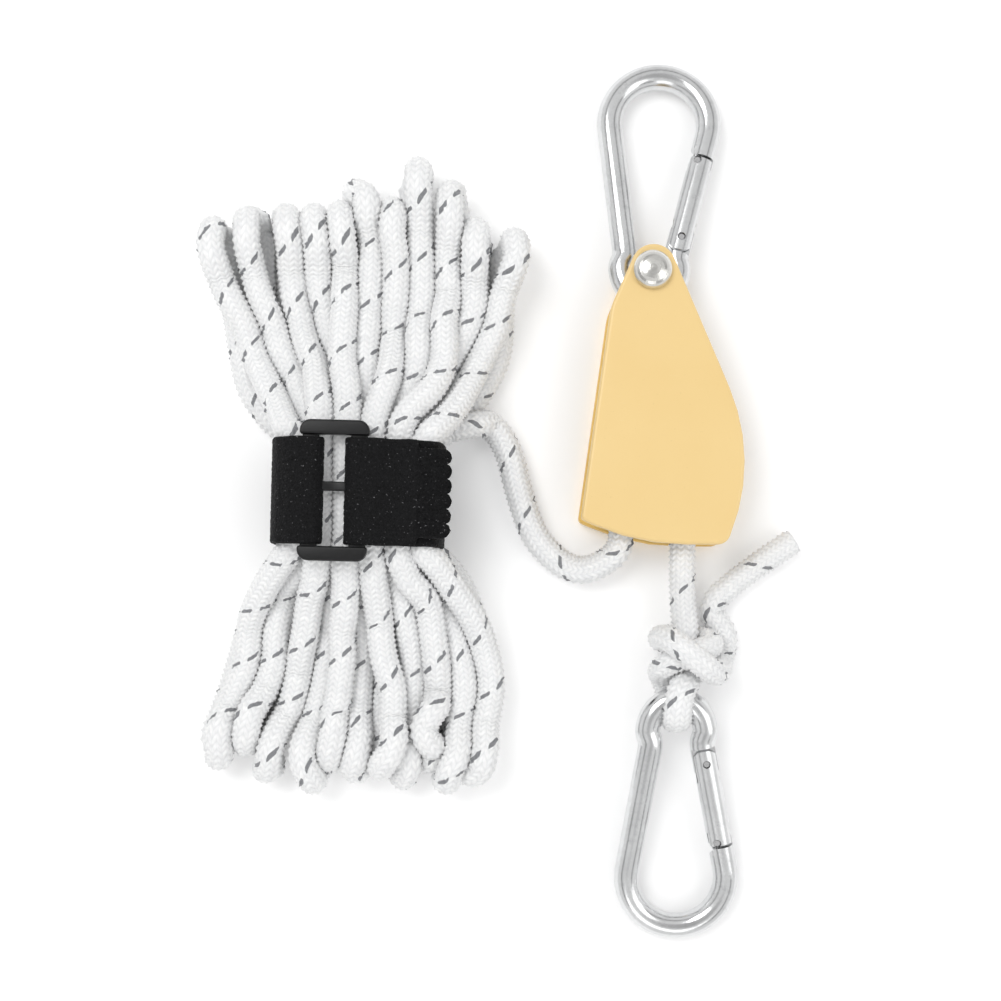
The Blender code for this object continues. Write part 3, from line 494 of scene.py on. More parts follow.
def spare_route():
    """Rest positions every 3 mm along the spare rope, from the sheave's load side to the bare end, with what is held."""
    block = [(5.7, 11.8 - 0.0)]
    start = []
    for k in range(25):
        t = math.radians(180 * k / 24)
        start.append((-1.6 + 7.3 * math.cos(t), 11.8 + 7.3 * math.sin(t), 7.85))
    start += [(-8.9, 6.0, 7.85), (-8.9, 0.0, 7.85), (-8.9, -5.0, 7.85)]
    lead = [
        (-9.1, -10.4, 7.85), (-10.0, -12.6, 7.6), (-12.8, -14.9, 6.4), (-17.0, -16.8, 4.9), (-21.7, -16.0, 3.8),
        (-26.3, -12.5, 3.4), (-29.8, -7.9, 3.3), (-32.1, -2.1, 3.3), (-34.0, 4.5, 3.3), (-35.6, 10.7, 3.3),
        (-38.3, 16.1, 3.5), (-41.4, 18.8, 4.8), (-45.0, 19.5, 8.2), (-48.6, 18.7, 12.0),
    ]
    held = [tuple(np.array(q) + SHIFT) for q in start + lead]
    path = [*held, (-52.0, 16.2, 12.2)]
    for k in range(TURNS - 1, -1, -1):
        low, up = waist_slot(k, False), waist_slot(k, True)
        path += bight(BOTTOM[k], BOTTOM[k][1], low, up, False, -1)
        after = waist_slot(k - 1, False) if k else (-88.0, 4.0)
        path += bight(TOP[k], TOP[k][1], up, after, True, 1)
    return np.array(path), np.array(held)


def settle(path, held_length, rounds):
    """Lets the rope find its place: no strand inside another, none below the floor, lengths kept, bends eased."""
    step = 3.0
    p = even(spline(path, 1.0), step)
    goal = p.copy()
    n = len(p)
    index = np.arange(n)
    under_strap = (np.abs(p[:, 1] - WAIST_Y) < HALF_STRAP + 0.8) & (p[:, 0] < -51.5)
    fixed = index * step < held_length - 10.0
    hold = np.where(under_strap, 0.30, 0.02)
    hold[fixed] = 1.0
    pull = np.stack([hold, hold, np.where(under_strap, 0.30, 0.012)], axis=1)
    pull[fixed] = 1.0
    give = np.where(fixed, 0.0, 1.0)
    ii = jj = None
    for turn in range(rounds):
        late = turn / rounds
        p[:, 2] -= 0.05 * give
        p += pull * (goal - p) * (1.0 if late < 0.55 else np.where(under_strap | fixed, 1.0, max(0.0, 1 - (late - 0.55) / 0.35))[:, None])
        bend = 0.5 * (p[:-2] + p[2:]) - p[1:-1]
        p[1:-1] += (0.10 if late < 0.7 else 0.22) * bend * give[1:-1, None]
        for k, most in ((1, 0.62), (2, 2.35), (3, 4.8)):
            v = 0.5 * (p[: -2 * k] + p[2 * k :]) - p[k:-k]
            size = np.linalg.norm(v, axis=1, keepdims=True) + 1e-9
            v = v * (np.clip(size - most, 0, None) / size)
            ease = np.zeros_like(p)
            ease[k:-k] += 0.22 * v
            ease[: -2 * k] -= 0.11 * v
            ease[2 * k :] -= 0.11 * v
            p += ease * give[:, None]
        if turn % 4 == 0:
            q = p.astype(np.float32)
            d2 = ((q[:, None, :] - q[None, :, :]) ** 2).sum(axis=2)
            near = (d2 < 9.0**2) & (index[None, :] - index[:, None] >= 4)
            ii, jj = np.nonzero(near)
        for _ in range(2):
            gap = p[jj] - p[ii]
            dist = np.linalg.norm(gap, axis=1) + 1e-9
            want = np.where(under_strap[ii] & under_strap[jj], 6.05, 6.42)
            over = np.clip(want - dist, 0, None)
            push = gap / dist[:, None] * (over * (0.30 + 0.15 * late))[:, None]
            w = give[ii] + give[jj] + 1e-9
            move = np.zeros_like(p)
            np.add.at(move, ii, -push * (give[ii] / w * 2)[:, None])
            np.add.at(move, jj, push * (give[jj] / w * 2)[:, None])
            size = np.linalg.norm(move, axis=1, keepdims=True)
            p += move * np.minimum(1.0, 1.2 / (size + 1e-9))
        for _ in range(2):
            for parity in (0, 1):
                a = np.arange(parity, n - 1, 2)
                d = p[a + 1] - p[a]
                ln = np.linalg.norm(d, axis=1)
                fix = d * (0.5 * (ln - step) / ln)[:, None]
                p[a] += fix * give[a, None]
                p[a + 1] -= fix * give[a + 1, None]
        p[:, 2] = np.maximum(p[:, 2], ROPE_R + 0.05)
        p[:, 2] = np.where(fixed, goal[:, 2], p[:, 2])
        band = np.abs(p[:, 1] - WAIST_Y) < HALF_STRAP + 1.0
        inside = band & ~fixed & (goal[:, 0] < -51.0)
        p[inside, 0] = np.clip(p[inside, 0], WAIST_X - 18.0 + ROPE_R, WAIST_X + 18.0 - ROPE_R)
        p[inside, 2] = np.clip(p[inside, 2], 5.2, 21.8)
    return p


def clearance(p):
    """How close the line comes to itself, in millimetres, a few diameters apart along it."""
    q = even(p, 2.0)
    worst = 1e9
    for a in range(0, len(q), 400):
        d = np.linalg.norm(q[a : a + 400, None, :] - q[None, :, :], axis=2)
        i = np.arange(a, min(a + 400, len(q)))[:, None]
        d[np.abs(i - np.arange(len(q))[None, :]) < 7] = 99
        worst = min(worst, float(d.min()))
    return worst


# ---------------------------------------------------------------- rope with its braid in the mesh
SIDES, RING = 48, PITCH / 4


def frames_along(p):
    """Tangent, side and up along a line, carried without twist."""
    t = np.gradient(p, axis=0)
    t /= np.linalg.norm(t, axis=1, keepdims=True)
    side = np.zeros_like(p)
    first = np.cross(t[0], (0.0, 0.0, 1.0))
    if np.linalg.norm(first) < 1e-3:
        first = np.cross(t[0], (0.0, 1.0, 0.0))
    side[0] = first / np.linalg.norm(first)
    for k in range(1, len(p)):
        v = side[k - 1] - t[k] * float(side[k - 1] @ t[k])
        side[k] = v / math.sqrt(float(v @ v))
    return t, side, np.cross(t, side)


def rope_piece(name, line, radius=None, twist=0.0, press=None):
    """A tube along line whose stitches stand up from its surface. radius may change along the line, and press gives the
    direction and the share by which it is squeezed flat at each point."""
    p = even(line, RING)
    for _ in range(3):
        p[1:-1] = 0.25 * p[:-2] + 0.5 * p[1:-1] + 0.25 * p[2:]
    n = len(p)
    t, side, up = frames_along(p)
    r = np.full(n, ROPE_R) if radius is None else radius(np.linspace(0, 1, n), p)
    j = np.arange(SIDES)
    i = np.arange(n)
    column = j * COLUMNS // SIDES
    across = (j + 0.5) * COLUMNS / SIDES - column - 0.5
    slope = np.where(column % 2 == 1, 1.0, -1.0)
    along = (i / 4.0)[:, None] - (slope * across * 0.8)[None, :]
    off = along - np.round(along)
    plump = np.cos(math.pi * off) ** 2 * np.cos(math.pi * across[None, :] * 0.92) ** 1.2
    loose = 0.05 * np.sin(i * 0.011)[:, None] + 0.03 * np.sin(i * 0.043 + 1.7)[:, None]
    high = r[:, None] + 0.06 + loose - 0.66 * (1 - plump)
    angle = 2 * math.pi * (j[None, :] + 0.5) / SIDES + (twist * np.linspace(0, length_of(p), n))[:, None]
    out = high[..., None] * (np.cos(angle)[..., None] * side[:, None, :] + np.sin(angle)[..., None] * up[:, None, :])
    if press is not None:
        way, share = press(p)
        part = (out * way[:, None, :]).sum(axis=2)[..., None] * way[:, None, :]
        out = out * (1 + 0.35 * share)[:, None, None] - part * (1.35 * share)[:, None, None]
    verts = (p[:, None, :] + out).reshape(-1, 3)
    a = (i[:-1, None] * SIDES + j[None, :]).ravel()
    b = (i[:-1, None] * SIDES + (j[None, :] + 1) % SIDES).ravel()
    quads = np.stack([a, b, b + SIDES, a + SIDES], axis=1)
    u = np.broadcast_to((j[None, :] + 0.5) / SIDES, (n - 1, SIDES)).ravel()
    v = np.broadcast_to((i[:-1] / 4.0)[:, None], (n - 1, SIDES)).ravel()
    uv = np.stack([np.stack([u, v], 1), np.stack([u + 1 / SIDES, v], 1), np.stack([u + 1 / SIDES, v + 0.25], 1), np.stack([u, v + 0.25], 1)], axis=1)
    return skin(name, verts, quads, uv.reshape(-1, 2), n), p


def skin(name, verts, quads, uv, rings):
    """Makes the mesh, closing both ends with a pushed-in cap."""
    total = len(verts)
    caps, cap_uv, extra = [], [], []
    for end, base in ((0, 0), (1, (rings - 1) * SIDES)):
        ring = verts[base : base + SIDES]
        centre = ring.mean(axis=0)
        rows = [np.arange(base, base + SIDES)]
        for shrink in (0.72, 0.36):
            extra.append(centre + (ring - centre) * shrink)
            rows.append(np.arange(total, total + SIDES))
            total += SIDES
        extra.append(centre[None])
        hub = total
        total += 1
        for k in range(SIDES):
            m = (k + 1) % SIDES
            for outer, inner in zip(rows, rows[1:]):
                q = [outer[k], inner[k], inner[m], outer[m]]
                caps.append(q if end == 0 else q[::-1])
                cap_uv += [(k / SIDES, 0.3)] * 4
            q = [rows[-1][k], hub, rows[-1][m]]
            caps.append(q if end == 0 else q[::-1])
            cap_uv += [(k / SIDES, 0.3)] * 3
    verts = np.vstack([verts, *extra])
    flat = np.concatenate([quads.ravel(), np.concatenate([np.array(c) for c in caps])]).astype(np.int32)
    sizes = np.concatenate([np.full(len(quads), 4), np.array([len(c) for c in caps])]).astype(np.int32)
    starts = np.concatenate([[0], np.cumsum(sizes)[:-1]]).astype(np.int32)
    mesh = bpy.data.meshes.new(name)
    mesh.vertices.add(len(verts))
    mesh.vertices.foreach_set("co", (verts * MM).astype(np.float32).ravel())
    mesh.loops.add(len(flat))
    mesh.loops.foreach_set("vertex_index", flat)
    mesh.polygons.add(len(sizes))
    mesh.polygons.foreach_set("loop_start", starts)
    mesh.update(calc_edges=True)
    layer = mesh.uv_layers.new(name="rope")
    layer.data.foreach_set("uv", np.vstack([uv, np.array(cap_uv)]).astype(np.float32).ravel())
    mesh.shade_smooth()
    mesh.validate()
    o = bpy.data.objects.new(name, mesh)
    COLLECTION.objects.link(o)
    mesh.materials.append(ROPE)
    return o


route, held = spare_route()
held_length = length_of(spline(held, 1.0))
placed = settle(route, held_length, 260)
smooth = spline(placed, 0.6)


def fullness(_, p):
    """Radius along the spare rope: 3.25 where it is pulled through the block, fuller where it lies slack."""
    slack = np.clip((-12.0 - p[:, 0]) / 10.0, 0, 1)
    bound = (np.abs(p[:, 1] - WAIST_Y) < HALF_STRAP) & (p[:, 0] < -51)
    r = ROPE_R + 0.26 * slack
    r[bound] = ROPE_R
    for _ in range(60):
        r[1:-1] = 0.25 * r[:-2] + 0.5 * r[1:-1] + 0.25 * r[2:]
    return r


rope_slack, slack_line = rope_piece("rope_slack", smooth, radius=fullness, twist=0.012)
print("slack length", round(length_of(slack_line), 1), "closest", round(clearance(slack_line), 2))
print("slack box", slack_line.min(axis=0).round(1), slack_line.max(axis=0).round(1))
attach(rope_slack, "block")
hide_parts("rope_in_block", "rope_lead", "rope_hank")

# ---------------------------------------------------------------- snap hooks
WIRE_R = 3.0
EYE_R, EYE_LONG = 6.95, 8.2
BOW_R, BOW_V = 12.0, 35.55
LEG = math.radians(10.5)
HINGE_V, LATCH_V = 7.1, 27.6
TONGUE_T, SLOT_W, KEY_T, HOLE_R, GATE_R = 2.0, 2.7, 1.7, 0.94, 2.95
TURN = (BOW_R * math.cos(LEG), BOW_V - BOW_R * math.sin(LEG))


def leg_x(v):
    return TURN[0] - (TURN[1] - v) * math.tan(LEG)


def hook_line():
    """Middle of the hook's wire: from the nose round the big end, down the plain leg and round the eye to the hinge."""
    line = [(leg_x(LATCH_V - 2.6), LATCH_V - 2.6)]
    for k in range(27):
        t = -LEG + (math.pi + 2 * LEG) * k / 26
        line.append((BOW_R * math.cos(t), BOW_V + BOW_R * math.sin(t)))
    for k in range(1, 5):
        v = TURN[1] + (3.1 - TURN[1]) * k / 4
        line.append((-leg_x(v), v))
    line.append((-(leg_x(3.1) + 0.02), 1.7))
    for k in range(23):
        t = math.radians(181 + 178 * k / 22)
        line.append((EYE_R * math.cos(t), EYE_LONG * math.sin(t)))
    line.append((leg_x(3.1) + 0.02, 1.7))
    line.append((leg_x(3.1), 3.1))
    line.append((leg_x(HINGE_V + 2.5), HINGE_V + 2.5))
    return np.array([(x, v, 0.0) for x, v in line])


def hook_frame(at, lean_deg, low_end_up, eye_z, bow_z):
    """From the hook's own plane, eye at its origin and big end towards +Y, to where it lies in the row frame."""
    tilt = math.asin((bow_z - eye_z) / (BOW_V + BOW_R))
    turn = math.radians(-lean_deg) + (0 if low_end_up else math.pi)
    at = Vector((at[0] + SHIFT[0], at[1] + SHIFT[1], eye_z))
    return Matrix.Translation(at) @ Matrix.Rotation(turn, 4, "Z") @ Matrix.Rotation(tilt, 4, "X")


PLACE = {
    "upper": hook_frame((-2.155, 55.65), 4.3, True, 8.3, WIRE_R),
    "lower": hook_frame((4.2, -56.0), -0.6, False, 8.9, WIRE_R) @ Matrix.Diagonal((-1, 1, 1, 1)),
}


def mesh_from(bm):
    bmesh.ops.recalc_face_normals(bm, faces=bm.faces)
    mesh = bpy.data.meshes.new("m")
    bm.to_mesh(mesh)
    bm.free()
    return mesh


def bar_along(points, radius, sides):
    """A round bar along points that lie in the plane z = 0, with slightly rounded ends."""
    p = np.array(points)
    t = np.gradient(p, axis=0)
    t /= np.linalg.norm(t, axis=1, keepdims=True)
    normal = np.stack([-t[:, 1], t[:, 0], np.zeros(len(p))], axis=1)
    r = np.full(len(p), float(radius))
    r[0] = r[-1] = radius - 0.25
    bm = bmesh.new()
    rings = []
    for q, n, size in zip(p, normal, r):
        ring = []
        for k in range(sides):
            w = 2 * math.pi * k / sides
            c = q + size * (math.cos(w) * n + math.sin(w) * np.array((0.0, 0.0, 1.0)))
            ring.append(bm.verts.new(c))
        rings.append(ring)
    for a, b in zip(rings, rings[1:]):
        for k in range(sides):
            bm.faces.new((a[k], a[(k + 1) % sides], b[(k + 1) % sides], b[k]))
    bm.faces.new(rings[0])
    bm.faces.new(rings[-1][::-1])
    return mesh_from(bm)


def block_of(low, high):
    bm = bmesh.new()
    bmesh.ops.create_cube(bm, size=1)
    bmesh.ops.scale(bm, vec=Vector(high) - Vector(low), verts=bm.verts)
    bmesh.ops.translate(bm, vec=(Vector(high) + Vector(low)) / 2, verts=bm.verts)
    return mesh_from(bm)


def prism(points, z0, z1):
    bm = bmesh.new()
    face = bm.faces.new([bm.verts.new((p[0], p[1], z0)) for p in points])
    up = bmesh.ops.extrude_face_region(bm, geom=[face])
    bmesh.ops.translate(bm, vec=(0, 0, z1 - z0), verts=[g for g in up["geom"] if isinstance(g, bmesh.types.BMVert)])
    return mesh_from(bm)


def round_hole(radius, at):
    return prism([(at[0] + radius * math.cos(2 * math.pi * k / 32), at[1] + radius * math.sin(2 * math.pi * k / 32)) for k in range(32)], -9, 9)


def cut(mesh, cuts):
    """The mesh after each Boolean."""
    holder = bpy.data.objects.new("cut", mesh)
    COLLECTION.objects.link(holder)
    tools = []
    for k, (operation, tool) in enumerate(cuts):
        o = bpy.data.objects.new("tool", tool)
        COLLECTION.objects.link(o)
        tools.append(o)
        m = holder.modifiers.new(f"c{k}", "BOOLEAN")
        m.operation, m.solver, m.object = operation, "EXACT", o
    bpy.context.view_layer.update()
    graph = bpy.context.evaluated_depsgraph_get()
    made = bpy.data.meshes.new_from_object(holder.evaluated_get(graph), depsgraph=graph)
    for o in [holder, *tools]:
        bpy.data.objects.remove(o, do_unlink=True)
    return made


def turned(mesh, matrix):
    mesh.transform(matrix)
    return mesh


def along_leg(v):
    return Matrix.Translation((leg_x(v), v, 0)) @ Matrix.Rotation(-LEG, 4, "Z")


def hook_wire():
    line = even(spline(hook_line(), 0.4), 0.4)
    first, last = line[0].copy(), line[-1].copy()
    for _ in range(6):
        line[1:-1] = 0.25 * line[:-2] + 0.5 * line[1:-1] + 0.25 * line[2:]
    line[0], line[-1] = first, last
    return even(line, 0.42)


def hook_body():
    hinge, latch = along_leg(HINGE_V), along_leg(LATCH_V)
    cuts = []
    for z0, z1 in ((TONGUE_T / 2, 8), (-8, -TONGUE_T / 2)):
        cuts.append(("DIFFERENCE", turned(block_of((-6, -3.75, z0), (6, 8, z1)), hinge)))
    for z0, z1 in ((KEY_T / 2, 8), (-8, -KEY_T / 2)):
        cuts.append(("DIFFERENCE", turned(block_of((-6, -8, z0), (6, 0, z1)), latch)))
    cuts.append(("DIFFERENCE", turned(round_hole(HOLE_R, (0, 0)), hinge)))
    cuts.append(("DIFFERENCE", turned(round_hole(1.3, (-0.9, -1.35)), latch)))
    cuts.append(("DIFFERENCE", turned(block_of((-6, -2.65, -9), (-0.9, -0.05, 9)), latch)))
    cuts.append(("DIFFERENCE", turned(block_of((-6, -8, -9), (-1.6, -1.35, 9)), latch)))
    # the inner side of the nose is relieved above the gate
    cuts.append(("DIFFERENCE", turned(block_of((-6, -0.2, -9), (-2.05, 1.7, 9)), latch)))
    return cut(bar_along(hook_wire(), WIRE_R, 56), cuts)


def gate():
    length = (LATCH_V - HINGE_V) / math.cos(LEG) - 0.42
    ys = np.concatenate([[-3.4, -3.2], np.arange(-3.0, length - 0.3, 0.5), [length - 0.2, length]])
    bar = bar_along([(0.0, y, 0.0) for y in ys], GATE_R, 56)
    side = [(GATE_R + 1, 0.0)]
    for k in range(25):
        t = math.radians(-180 * k / 24)
        side.append((3.3 * math.cos(t), 3.3 * math.sin(t)))
    side += [(-GATE_R - 1, 0.0), (-GATE_R - 1, length + 2), (GATE_R + 1, length + 2)]
    full = (LATCH_V - HINGE_V) / math.cos(LEG)
    cuts = [("INTERSECT", prism(side[::-1], -5, 5))]
    cuts.append(("DIFFERENCE", block_of((-6, -6, -SLOT_W / 2), (6, 4.4, SLOT_W / 2))))
    cuts.append(("DIFFERENCE", block_of((-6, length - 3.4, -SLOT_W / 2), (6, length + 3, SLOT_W / 2))))
    cuts.append(("DIFFERENCE", round_hole(HOLE_R, (0, 0))))
    cuts.append(("DIFFERENCE", round_hole(HOLE_R, (-0.9, full - 1.35))))
    return turned(cut(bar, cuts), along_leg(HINGE_V))


def hook_piece(name, mesh, place, look, body, node):
    mesh.transform(place)
    bm = bmesh.new()
    bm.from_mesh(mesh)
    bmesh.ops.recalc_face_normals(bm, faces=bm.faces)
    bmesh.ops.scale(bm, vec=(MM, MM, MM), verts=bm.verts)
    bm.to_mesh(mesh)
    bm.free()
    mesh.name = name
    mesh.shade_smooth()
    mesh.set_sharp_from_angle(angle=math.radians(32))
    mesh.materials.clear()
    mesh.materials.append(look)
    o = bpy.data.objects.new(name, mesh)
    COLLECTION.objects.link(o)
    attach(o, body)
    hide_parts(node)
    return o


for end in ("upper", "lower"):
    hook_piece(f"{end}_hook_bright", hook_body(), PLACE[end], FINISH["hook"], f"{end}_hook", f"{end}_hook_body")
    hook_piece(f"{end}_gate_bright", gate(), PLACE[end], FINISH["gate"], f"{end}_hook_gate", f"{end}_gate")

# ---------------------------------------------------------------- the load line, its knot, eye and tail
WIRE = np.array([3.76, -47.664, 9.917])  # middle of the lower hook's eye wire where the rope goes round it
LOOP_X = WIRE[0] - 0.6
LOOP_R = 5.6


def load_route():
    line = [(5.345, 11.6, 7.85), (5.345, 0.0, 7.85), (5.345, -12.0, 7.85), (5.345, -20.0, 7.85), (5.5, -25.5, 8.2), (6.2, -31.0, 9.2)]
    # through the knot's heart and down to the eye
    line += [(6.6, -36.0, 9.4), (5.6, -40.5, 10.4), (4.0, -44.0, 14.2)]
    for k in range(8):
        t = math.radians(75 + 30 * k)
        line.append((LOOP_X, WIRE[1] + LOOP_R * math.cos(t), WIRE[2] + LOOP_R * math.sin(t)))
    line += [(3.0, -44.6, 4.0), (2.4, -42.8, 4.4)]
    # round the lower left, across the front and up to the right, and behind to the left
    line += [(0.2, -41.6, 5.6), (-0.9, -40.9, 9.4), (0.6, -40.0, 13.2), (4.0, -38.6, 15.1), (7.5, -36.9, 15.3), (11.0, -35.4, 13.8)]
    line += [(13.6, -34.4, 10.4), (12.9, -33.6, 6.4), (9.5, -33.1, 3.6), (5.5, -32.8, 3.4), (1.8, -32.8, 4.2)]
    # round the upper left, over the front and down to the right, and out underneath
    line += [(-0.4, -33.2, 8.0), (-0.4, -33.7, 12.6), (1.6, -34.4, 17.2), (5.0, -36.4, 20.0), (8.4, -38.6, 19.6), (11.6, -40.4, 16.4)]
    line += [(13.9, -41.4, 11.6), (14.4, -41.2, 6.8), (15.0, -38.6, 3.6), (15.8, -35.0, 3.3), (14.4, -31.0, 3.3), (12.6, -27.4, 3.3)]
    line += [(14.4, -23.3, 3.3), (18.9, -19.4, 3.3), (24.6, -15.2, 3.3), (30.6, -11.1, 3.3), (32.9, -9.7, 3.3)]
    return np.array(line)


def draw_up(path, rounds):
    """Draws the knot up: strands part where they cross and stay outside the hook's wire and above the floor."""
    p = even(path, 1.2)
    goal = p.copy()
    n = len(p)
    loose = np.clip((-23.0 - p[:, 1]) / 5.0, 0, 1)
    loose[: 4] = 0
    wire = spline(hook_line(), 1.0)
    wire = np.array([PLACE["lower"] @ Vector(q) for q in wire])
    wire = wire[wire[:, 1] > -58.0]
    far = np.abs(np.arange(n)[:, None] - np.arange(n)[None, :]) > 6
    for turn in range(rounds):
        late = turn / rounds
        p += (0.06 * (1 - late) * loose + (1 - loose))[:, None] * (goal - p)
        bend = 0.5 * (p[:-2] + p[2:]) - p[1:-1]
        p[1:-1] += 0.16 * bend * loose[1:-1, None]
        for _ in range(2):
            gap = p[None, :, :] - p[:, None, :]
            dist = np.linalg.norm(gap, axis=2) + 1e-9
            over = np.where(far, np.clip(6.0 - dist, 0, None), 0)
            move = -(gap / dist[..., None] * over[..., None]).sum(axis=1)
            hit = (over > 0).sum(axis=1)
            p += 0.5 * move / np.maximum(hit, 1)[:, None] * loose[:, None]
            gap = p[:, None, :] - wire[None, :, :]
            dist = np.linalg.norm(gap, axis=2)
            near = dist.argmin(axis=1)
            d = dist[np.arange(n), near]
            out = gap[np.arange(n), near] / d[:, None]
            p += (np.clip(LOOP_R - 0.05 - d, 0, None) * loose)[:, None] * out
        p[:, 2] = np.maximum(p[:, 2], ROPE_R + 0.05)
    return p


def squeeze(p):
    """Where the loop is pressed flat against the hook's wire, and how much."""
    way = (p - WIRE) * np.array((0.0, 1.0, 1.0))
    d = np.linalg.norm(way, axis=1, keepdims=True)
    share = 0.26 * np.exp(-(((d[:, 0] - LOOP_R) / 2.2) ** 4)) * (np.abs(p[:, 0] - LOOP_X) < 5.0)
    for _ in range(12):
        share[1:-1] = 0.25 * share[:-2] + 0.5 * share[1:-1] + 0.25 * share[2:]
    return way / np.maximum(d, 1e-6), share


load_line = spline(draw_up(load_route(), 220), 0.6)
rope_load, load_path = rope_piece("rope_load", load_line, twist=0.01, press=squeeze)
print("load length", round(length_of(load_path), 1), "closest", round(clearance(load_path), 2), "box", load_path.min(axis=0).round(1), load_path.max(axis=0).round(1))
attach(rope_load, "load_end")
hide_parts("rope_load_line", "rope_knot", "rope_eye", "rope_tail")

# ---------------------------------------------------------------- strap and buckle
STRAP_T = 1.35
TAPE = 8.0  # length of the hook tape at the strap's free end
STRAP_TURN = math.radians(-1.45)


def strap_line():
    """The strap's middle line in (x, z): sewn end under the left bar, over it, round the hank, over the right bar and back."""
    left, right = WAIST_X - 18.2, WAIST_X + 18.2
    pts = [(-88.8, 25.2), (-86.5, 25.5), (-83.0, 25.6), (-80.6, 25.9), (-79.0, 27.4), (-80.3, 28.95), (-82.8, 29.1), (-85.4, 28.5), (-87.6, 27.2)]
    pts += [(left + 0.2, 26.0), (left - 0.9, 23.6), (left - 1.3, 19.0), (left - 1.3, 13.0), (left - 0.9, 7.0), (left + 0.8, 3.2), (left + 4.5, 1.3)]
    pts += [(WAIST_X - 9, 1.0), (WAIST_X, 0.95), (WAIST_X + 9, 1.0)]
    pts += [(right - 4.5, 1.3), (right - 0.9, 3.2), (right + 0.5, 7.0), (right + 0.7, 13.0), (right + 0.6, 19.0), (right - 0.2, 23.0), (right - 2.0, 25.0)]
    pts += [(right - 6.0, 25.5), (-62.5, 25.5), (-67.0, 25.6), (-71.0, 25.9), (-72.9, 27.3), (-71.7, 28.95), (-69.3, 29.1), (-66.5, 28.6), (-64.0, 27.6)]
    pts += [(-61.0, 27.1), (-57.0, 27.05), (-54.0, 26.8), (-51.6, 26.2), (-49.6, 25.3)]
    line = spline([(x, 0.0, z) for x, z in pts], 0.3)
    return line[:, [0, 2]]


def strap_piece():
    line = strap_line()
    d = np.gradient(line, axis=0)
    d /= np.linalg.norm(d, axis=1, keepdims=True)
    normal = np.stack([-d[:, 1], d[:, 0]], axis=1)
    n = len(line)
    wide = 97
    y = np.linspace(-1.0, 1.0, wide)
    s = np.arange(n) * 0.3
    rng = np.random.default_rng(5)
    tape = np.clip((s - (s[-1] - TAPE)) / 0.6, 0, 1)
    rough = rng.normal(0, 1, (n, wide))
    for _ in range(1):
        rough = (rough + np.roll(rough, 1, 0) + np.roll(rough, 1, 1) + np.roll(rough, -1, 0) + np.roll(rough, -1, 1)) / 5
    rough = rough / rough.std()
    # the free end: narrower, its edge pinched between the rows of stitching into six scallops
    half = 12.1 - 1.9 * tape
    scallop = 1.1 * (1 - np.abs(np.sin(math.pi * 3 * (y + 1))) ** 0.55) + 0.7 * np.abs(y) ** 8
    at = s[:, None] - tape[:, None] * np.clip((s[:, None] - (s[-1] - TAPE)) / TAPE, 0, 1) * scallop[None, :]
    surfaces = []
    for side in (1, -1):
        height = STRAP_T / 2 + (0.045 + 0.10 * tape[:, None]) * rough
        edge = np.clip((1 - np.abs(y)) * 12.1 / 0.45, 0, 1)[None, :]
        height = height * (0.45 + 0.55 * np.sqrt(edge))
        yy = y[None, :] * half[:, None] + 0.05 * np.sin(s * 0.83)[:, None] * y[None, :]
        cx, cz = np.interp(at, s, line[:, 0]), np.interp(at, s, line[:, 1])
        nx, nz = np.interp(at, s, normal[:, 0]), np.interp(at, s, normal[:, 1])
        x, z = cx + nx * side * height, cz + nz * side * height
        c, w = math.cos(STRAP_TURN), math.sin(STRAP_TURN)
        dx = x - WAIST_X
        surfaces.append(np.stack([WAIST_X + c * dx - w * yy, WAIST_Y + w * dx + c * yy, z], axis=2))
    upper, lower = surfaces
    verts = np.vstack([upper.reshape(-1, 3), lower.reshape(-1, 3)])
    m = n * wide
    i, j = np.arange(n - 1)[:, None], np.arange(wide - 1)[None, :]
    a = (i * wide + j).ravel()
    kind = np.broadcast_to((tape[:-1] > 0.5)[:, None], (n - 1, wide - 1)).ravel().astype(np.int32)
    quads = [np.stack([a, a + 1, a + wide + 1, a + wide], 1), np.stack([a, a + wide, a + wide + 1, a + 1], 1) + m]
    kinds = [kind, kind]
    i = np.arange(n - 1)
    quads.append(np.stack([i * wide, (i + 1) * wide, (i + 1) * wide + m, i * wide + m], 1))
    e = i * wide + wide - 1
    quads.append(np.stack([e, e + m, e + wide + m, e + wide], 1))
    kinds += [(tape[:-1] > 0.5).astype(np.int32)] * 2
    j = np.arange(wide - 1)
    quads.append(np.stack([j, j + m, j + 1 + m, j + 1], 1))
    e = (n - 1) * wide + j
    quads.append(np.stack([e, e + 1, e + 1 + m, e + m], 1))
    kinds += [np.zeros(wide - 1, np.int32), np.ones(wide - 1, np.int32)]
    quads = np.vstack(quads).astype(np.int32)
    mesh = bpy.data.meshes.new("strap")
    mesh.vertices.add(len(verts))
    mesh.vertices.foreach_set("co", (verts * MM).astype(np.float32).ravel())
    mesh.loops.add(quads.size)
    mesh.loops.foreach_set("vertex_index", quads.ravel())
    mesh.polygons.add(len(quads))
    mesh.polygons.foreach_set("loop_start", np.arange(0, quads.size, 4, dtype=np.int32))
    mesh.update(calc_edges=True)
    mesh.materials.append(pile_finish("strap_web", False))
    mesh.materials.append(pile_finish("strap_hooks", True))
    mesh.polygons.foreach_set("material_index", np.concatenate(kinds).astype(np.int32))
    bm = bmesh.new()
    bm.from_mesh(mesh)
    bmesh.ops.recalc_face_normals(bm, faces=bm.faces)
    bm.to_mesh(mesh)
    bm.free()
    mesh.shade_smooth()
    o = bpy.data.objects.new("strap", mesh)
    COLLECTION.objects.link(o)
    return o, s[-1]


strap, strap_length = strap_piece()
print("strap length", round(float(strap_length), 1))
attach(strap, "block")
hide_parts("strap_band", "strap_hook_end")


